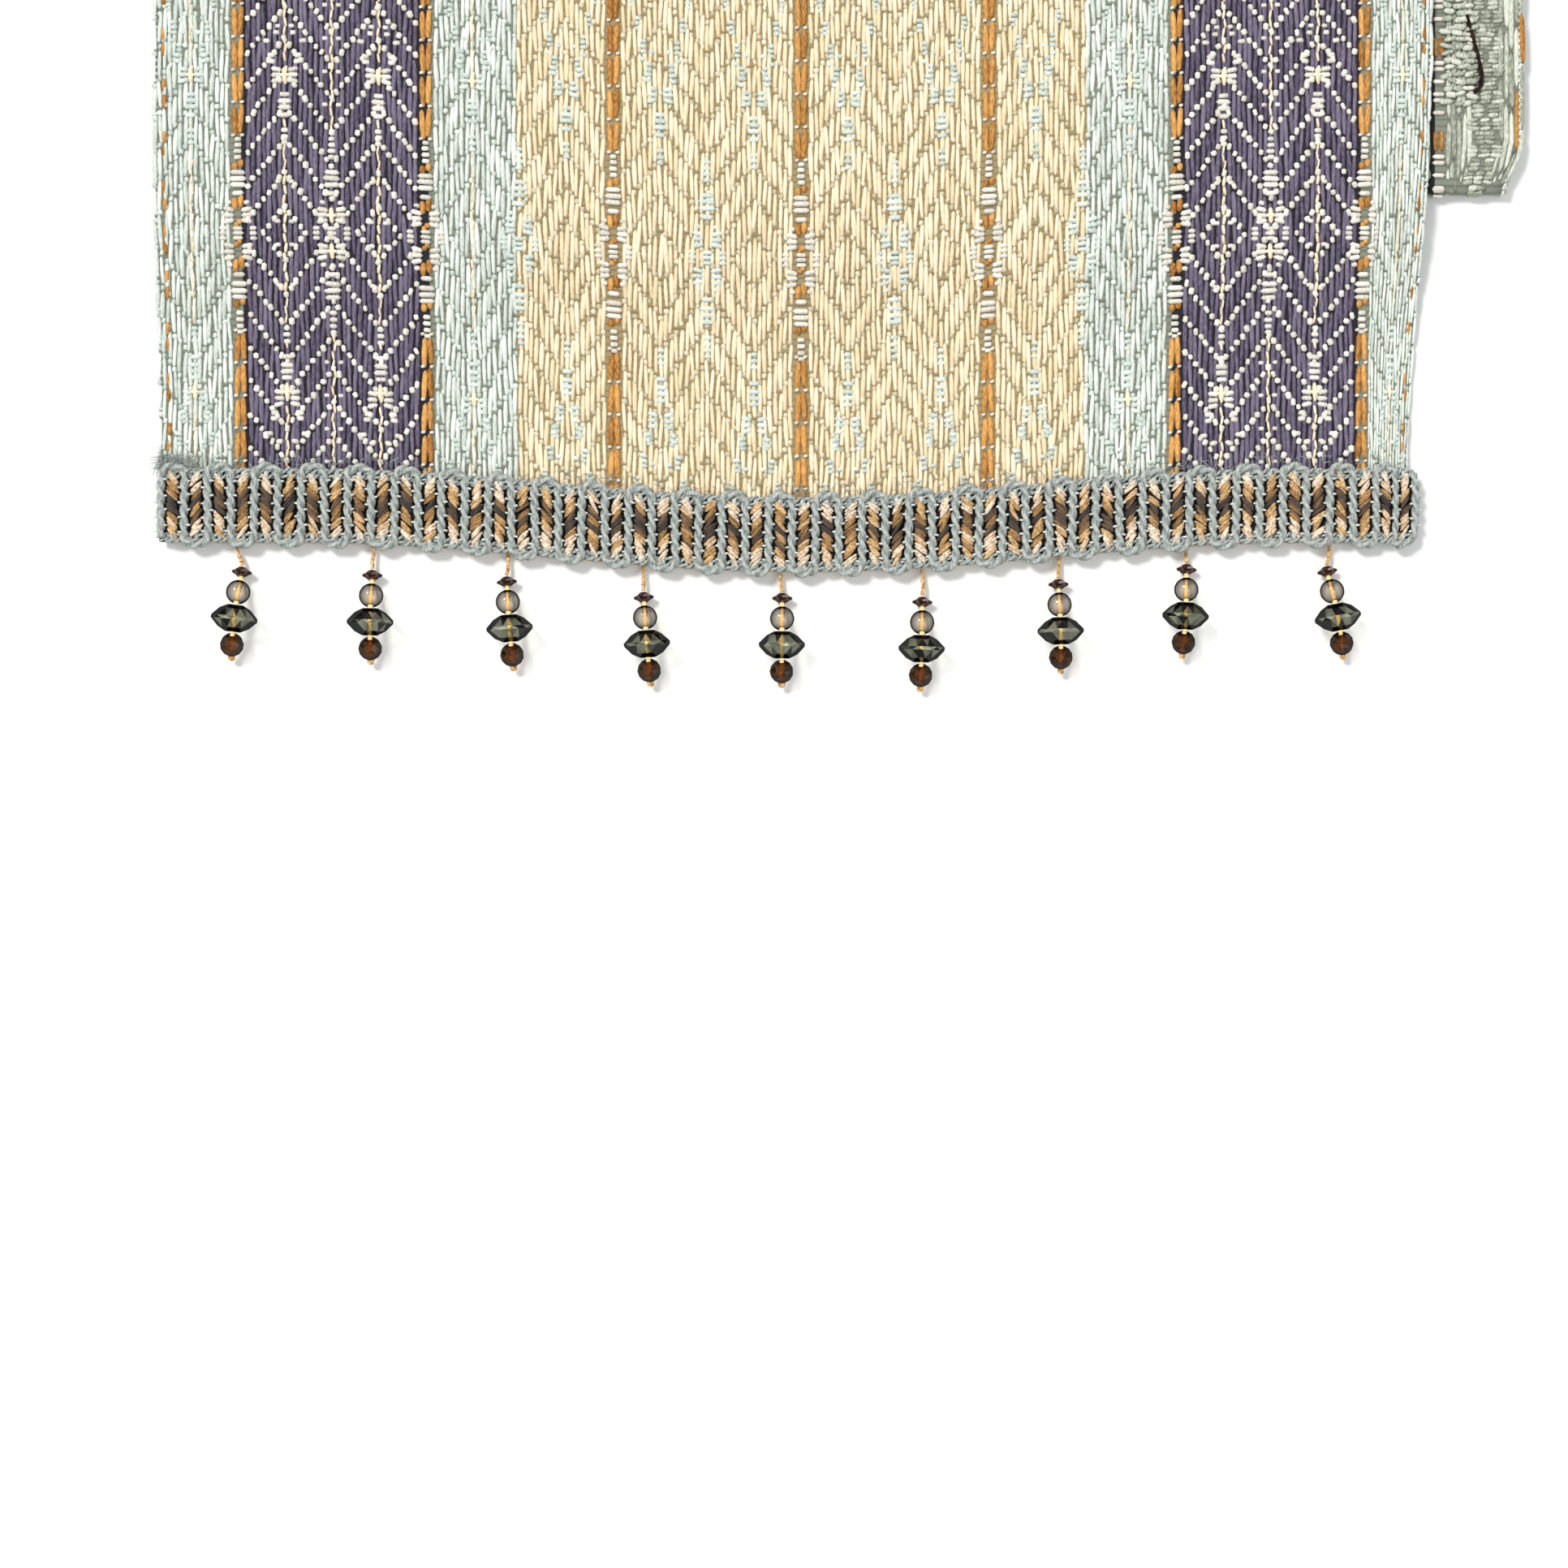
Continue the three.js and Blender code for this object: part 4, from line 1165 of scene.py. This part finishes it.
def glass(name, middle, rim, glint=0.0):
    """Coloured glass. It darkens towards its rim, partly as thicker glass and partly as painted shade, and
    facet by facet at random, as painted glints.
    """
    mat, tree = new_material(name)
    # painted shade: the colour runs to near-black at the rim and on some facets, for the dark that the glass
    # bends in
    facing = add_node(tree, "ShaderNodeLayerWeight", {"Blend": 0.75}).outputs["Facing"]
    squared = calculate(tree, "POWER", attribute(tree, "tint"), 2.0)
    depth = calculate(tree, "MULTIPLY_ADD", squared, glint, facing, use_clamp=True)
    shade = mixed_colour(tree, depth, linear(middle), linear(rim))
    # most of the colour is picked up on the way out, so the thread in the bore is seen through little of it
    back = add_node(tree, "ShaderNodeNewGeometry").outputs["Backfacing"]
    passed = calculate(tree, "MULTIPLY_ADD", back, 1 - ENTRY_TINT, ENTRY_TINT)
    outer = calculate(tree, "SUBTRACT", 1.0, attribute(tree, "bore"))
    share = calculate(tree, "MULTIPLY", passed, outer)
    seen = mixed_colour(tree, share, (1, 1, 1, 1), shade)
    cast = mixed_colour(tree, ENTRY_TINT, (1, 1, 1, 1), shade)
    bent = add_node(tree, "ShaderNodeBsdfRefraction", {"Color": seen, "Roughness": 0.01, "IOR": 1.14})
    polish = add_node(tree, "ShaderNodeBsdfAnisotropic", {"Roughness": 0.06})
    body = add_node(tree, "ShaderNodeMixShader", {0: 0.035, 1: bent, 2: polish})
    shadow = add_node(tree, "ShaderNodeLightPath").outputs["Is Shadow Ray"]
    through = add_node(tree, "ShaderNodeBsdfTransparent", {"Color": cast})
    close_material(tree, add_node(tree, "ShaderNodeMixShader", {0: shadow, 1: body, 2: through}))
    return mat


gold_thread = yarn_material("gold_beading_thread", "#F2CF92", "#9A6632", 0.3, 0.5)
# Inside the beads the thread has a faint painted glow, standing for the light that the bore gathers on to it
lit_thread, tree = new_material("gold_thread_in_glass")
surface(
    tree,
    Base_Color=linear("#F6CE8C"),
    Roughness=0.7,
    Emission_Color=linear("#F4BE74"),
    Emission_Strength=0.45,
)
clear_glass = glass("clear_smoky_glass", "#DAD1C6", "#0E0A07")
green_glass = glass("smoky_green_glass", "#D2D6BE", "#080904", 0.9)
brown_glass = glass("smoky_brown_glass", "#75491A", "#070301", 0.5)
# Antiqued metal, reddish brown where it is rubbed
spacer_metal, tree = new_material("antiqued_spacer_metal")
surface(tree, Base_Color=linear("#331A12"), Metallic=0.5, Roughness=0.35)
BEAD_FINISH = {
    "spacer": (spacer_metal, "antique_metal", False),
    "round": (clear_glass, "clear_smoky_glass", True),
    "rondelle": (green_glass, "smoky_green_glass", False),
    "end": (brown_glass, "smoky_brown_glass", False),
}


def mesh_piece(name, parts, mat, body, material_slot, node, smooth=True, bore_points=0):
    """One object from parts that are already in the frame, with a tint for each face."""
    points, faces = joined(parts)
    obj = mesh_object(name, points, faces, mat, smooth)
    set_attribute(obj.data, "tint", between(0, 1, len(faces)), "FACE")
    counts = [len(part_points) for part_points, _ in parts]
    set_attribute(obj.data, "bore", np.concatenate([np.arange(n) >= n - bore_points for n in counts]))
    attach(obj, body)
    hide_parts(node)


def bead_piece(name, kind, parts, body, node):
    """Beads of one kind. The last two rings of points of each lie in its bore."""
    mat, material_slot, smooth = BEAD_FINISH[kind]
    bore_points = 2 * BEAD_SHAPES[kind]["around"]
    mesh_piece(name, parts, mat, body, material_slot, node, smooth, bore_points)


def bead_part(kind, to_place):
    points, polygons = turned_bead(spot=spots[kind], rise=RISE[kind], **BEAD_SHAPES[kind])
    return to_place(points), polygons


def thread_part(path, to_place):
    points, polygons = cord_mesh(path, THREAD_RADIUS, pitch=1.6, sides=8, step=0.3, notch=0.35)
    return to_place(points), polygons


CORE_PATH = [(0, 0.3, 0.0), *((0, *bend) for bend in bends), (0, *tail)]
KNOT_OUTLINE = [(0.85, -0.8), (1.05, -0.3), (1.0, 0.3), (0.85, 0.6)]


def core_part(to_place):
    return thread_part(CORE_PATH, to_place)


def knot_part(to_place):
    points, polygons = turned_bead(KNOT_OUTLINE, 8, tail, RISE["end"])
    return to_place(points), polygons


def in_metres(points):
    return np.asarray(points) / 1000


def joint_at(name):
    return np.array(joints[name]["pos_m"]) * 1000


def running_part(first, last, sign, end_y, centre_x):
    """The thread under a gimp that its strands hang from, running on a little past the outer ones."""
    x = np.linspace(first[0] - RUN_PAST, last[0] + RUN_PAST, RUN_STATIONS)
    y = HOME.y + end_y + sign * (bow_at(x - HOME.x - centre_x) + RUNNING_OUT)
    return thread_part(np.stack([x, y, np.full_like(x, THREAD_Z)], 1), in_metres)


for number in range(1, STRANDS + 1):
    lift, pivot = joint_at(f"lift_{number}"), joint_at(f"swing_{number}")
    hang = strand_placer(pivot, joints[f"spin_rondelle_{number}"]["axis"])
    along_loop = pivot - lift
    bowed = lift + along_loop * 0.5 + np.array([0.25 * math.sin(number * 2.3), 0, 0.1])
    loop_path = [lift - np.array([0, -0.6, 0]), lift, bowed, pivot - along_loop * 0.04]
    for piece, part, finish, body, node in (
        ("loop", thread_part(loop_path, in_metres), gold_thread, "loop", "thread_loop"),
        ("core", core_part(hang), lit_thread, "hanging", "core_thread"),
        ("knot", knot_part(hang), gold_thread, "hanging", "core_thread"),
    ):
        body, node = f"{body}_{number}", f"{node}_{number}"
        mesh_piece(f"gold_{piece}_{number}", [part], finish, body, "gold_thread", node)
    for kind, body, node in (
        ("spacer", "hanging", "star_spacer"),
        ("round", "round", "round_bead"),
        ("rondelle", "rondelle", "rondelle"),
        ("end", "end", "end_bead"),
    ):
        body, node = f"{body}_{number}", f"{node}_{number}"
        bead_piece(f"{kind}_fine_{number}", kind, [bead_part(kind, hang)], body, node)

# The running thread under the front gimp comes out at each strand
exits = [joint_at(f"lift_{number}") for number in range(1, STRANDS + 1)]
stub_paths = [
    [place + np.array([0, EXIT_OUT - RUNNING_OUT, 0]), place + np.array([0, 0.7, 0])] for place in exits
]
parts = [thread_part(path, in_metres) for path in stub_paths]
parts.insert(0, running_part(exits[0], exits[-1], -1, 0, 0))
mesh_piece("gold_running_thread", parts, gold_thread, "runner", "gold_thread", "front_running_thread")

# The far end carries the same strands, laid straight out
far_threads, far_cores = [], []
far_beads = {kind: [] for kind in BEAD_SHAPES}
climb = RIM_REST - spots["rondelle"][1] - THREAD_Z
far_run = []
for number in range(STRANDS):
    lean = math.radians(FAR_LEAN * math.sin(2.1 * number))
    x = FAR_OFFSET + STRAND_PITCH * (number - (STRANDS - 1) / 2)
    y = FAR_Y + bow_at(x - FAR_OFFSET) + RUNNING_OUT
    start = np.array([x, y, THREAD_Z]) + np.array(HOME)
    ahead = np.array([-math.sin(lean), math.cos(lean), 0])
    knee = start + ahead * (EXIT_OUT - RUNNING_OUT)
    pivot = knee + ahead * math.sqrt(FAR_DROP**2 - climb**2) + np.array([0, 0, climb])
    hang = strand_placer(pivot, ahead)
    far_threads += [thread_part([start, knee, pivot], in_metres), knot_part(hang)]
    far_cores.append(core_part(hang))
    for kind in BEAD_SHAPES:
        far_beads[kind].append(bead_part(kind, hang))
    far_run.append(start)
far_threads.append(running_part(far_run[0], far_run[-1], 1, FAR_Y, FAR_OFFSET))
mesh_piece("far_threads", far_threads, gold_thread, "runner", "gold_thread", "far_bead_strands")
mesh_piece("far_cores", far_cores, lit_thread, "runner", "gold_thread", "far_bead_strands")
for kind, parts in far_beads.items():
    bead_piece(f"far_{kind}_beads", kind, parts, "runner", "far_bead_strands")
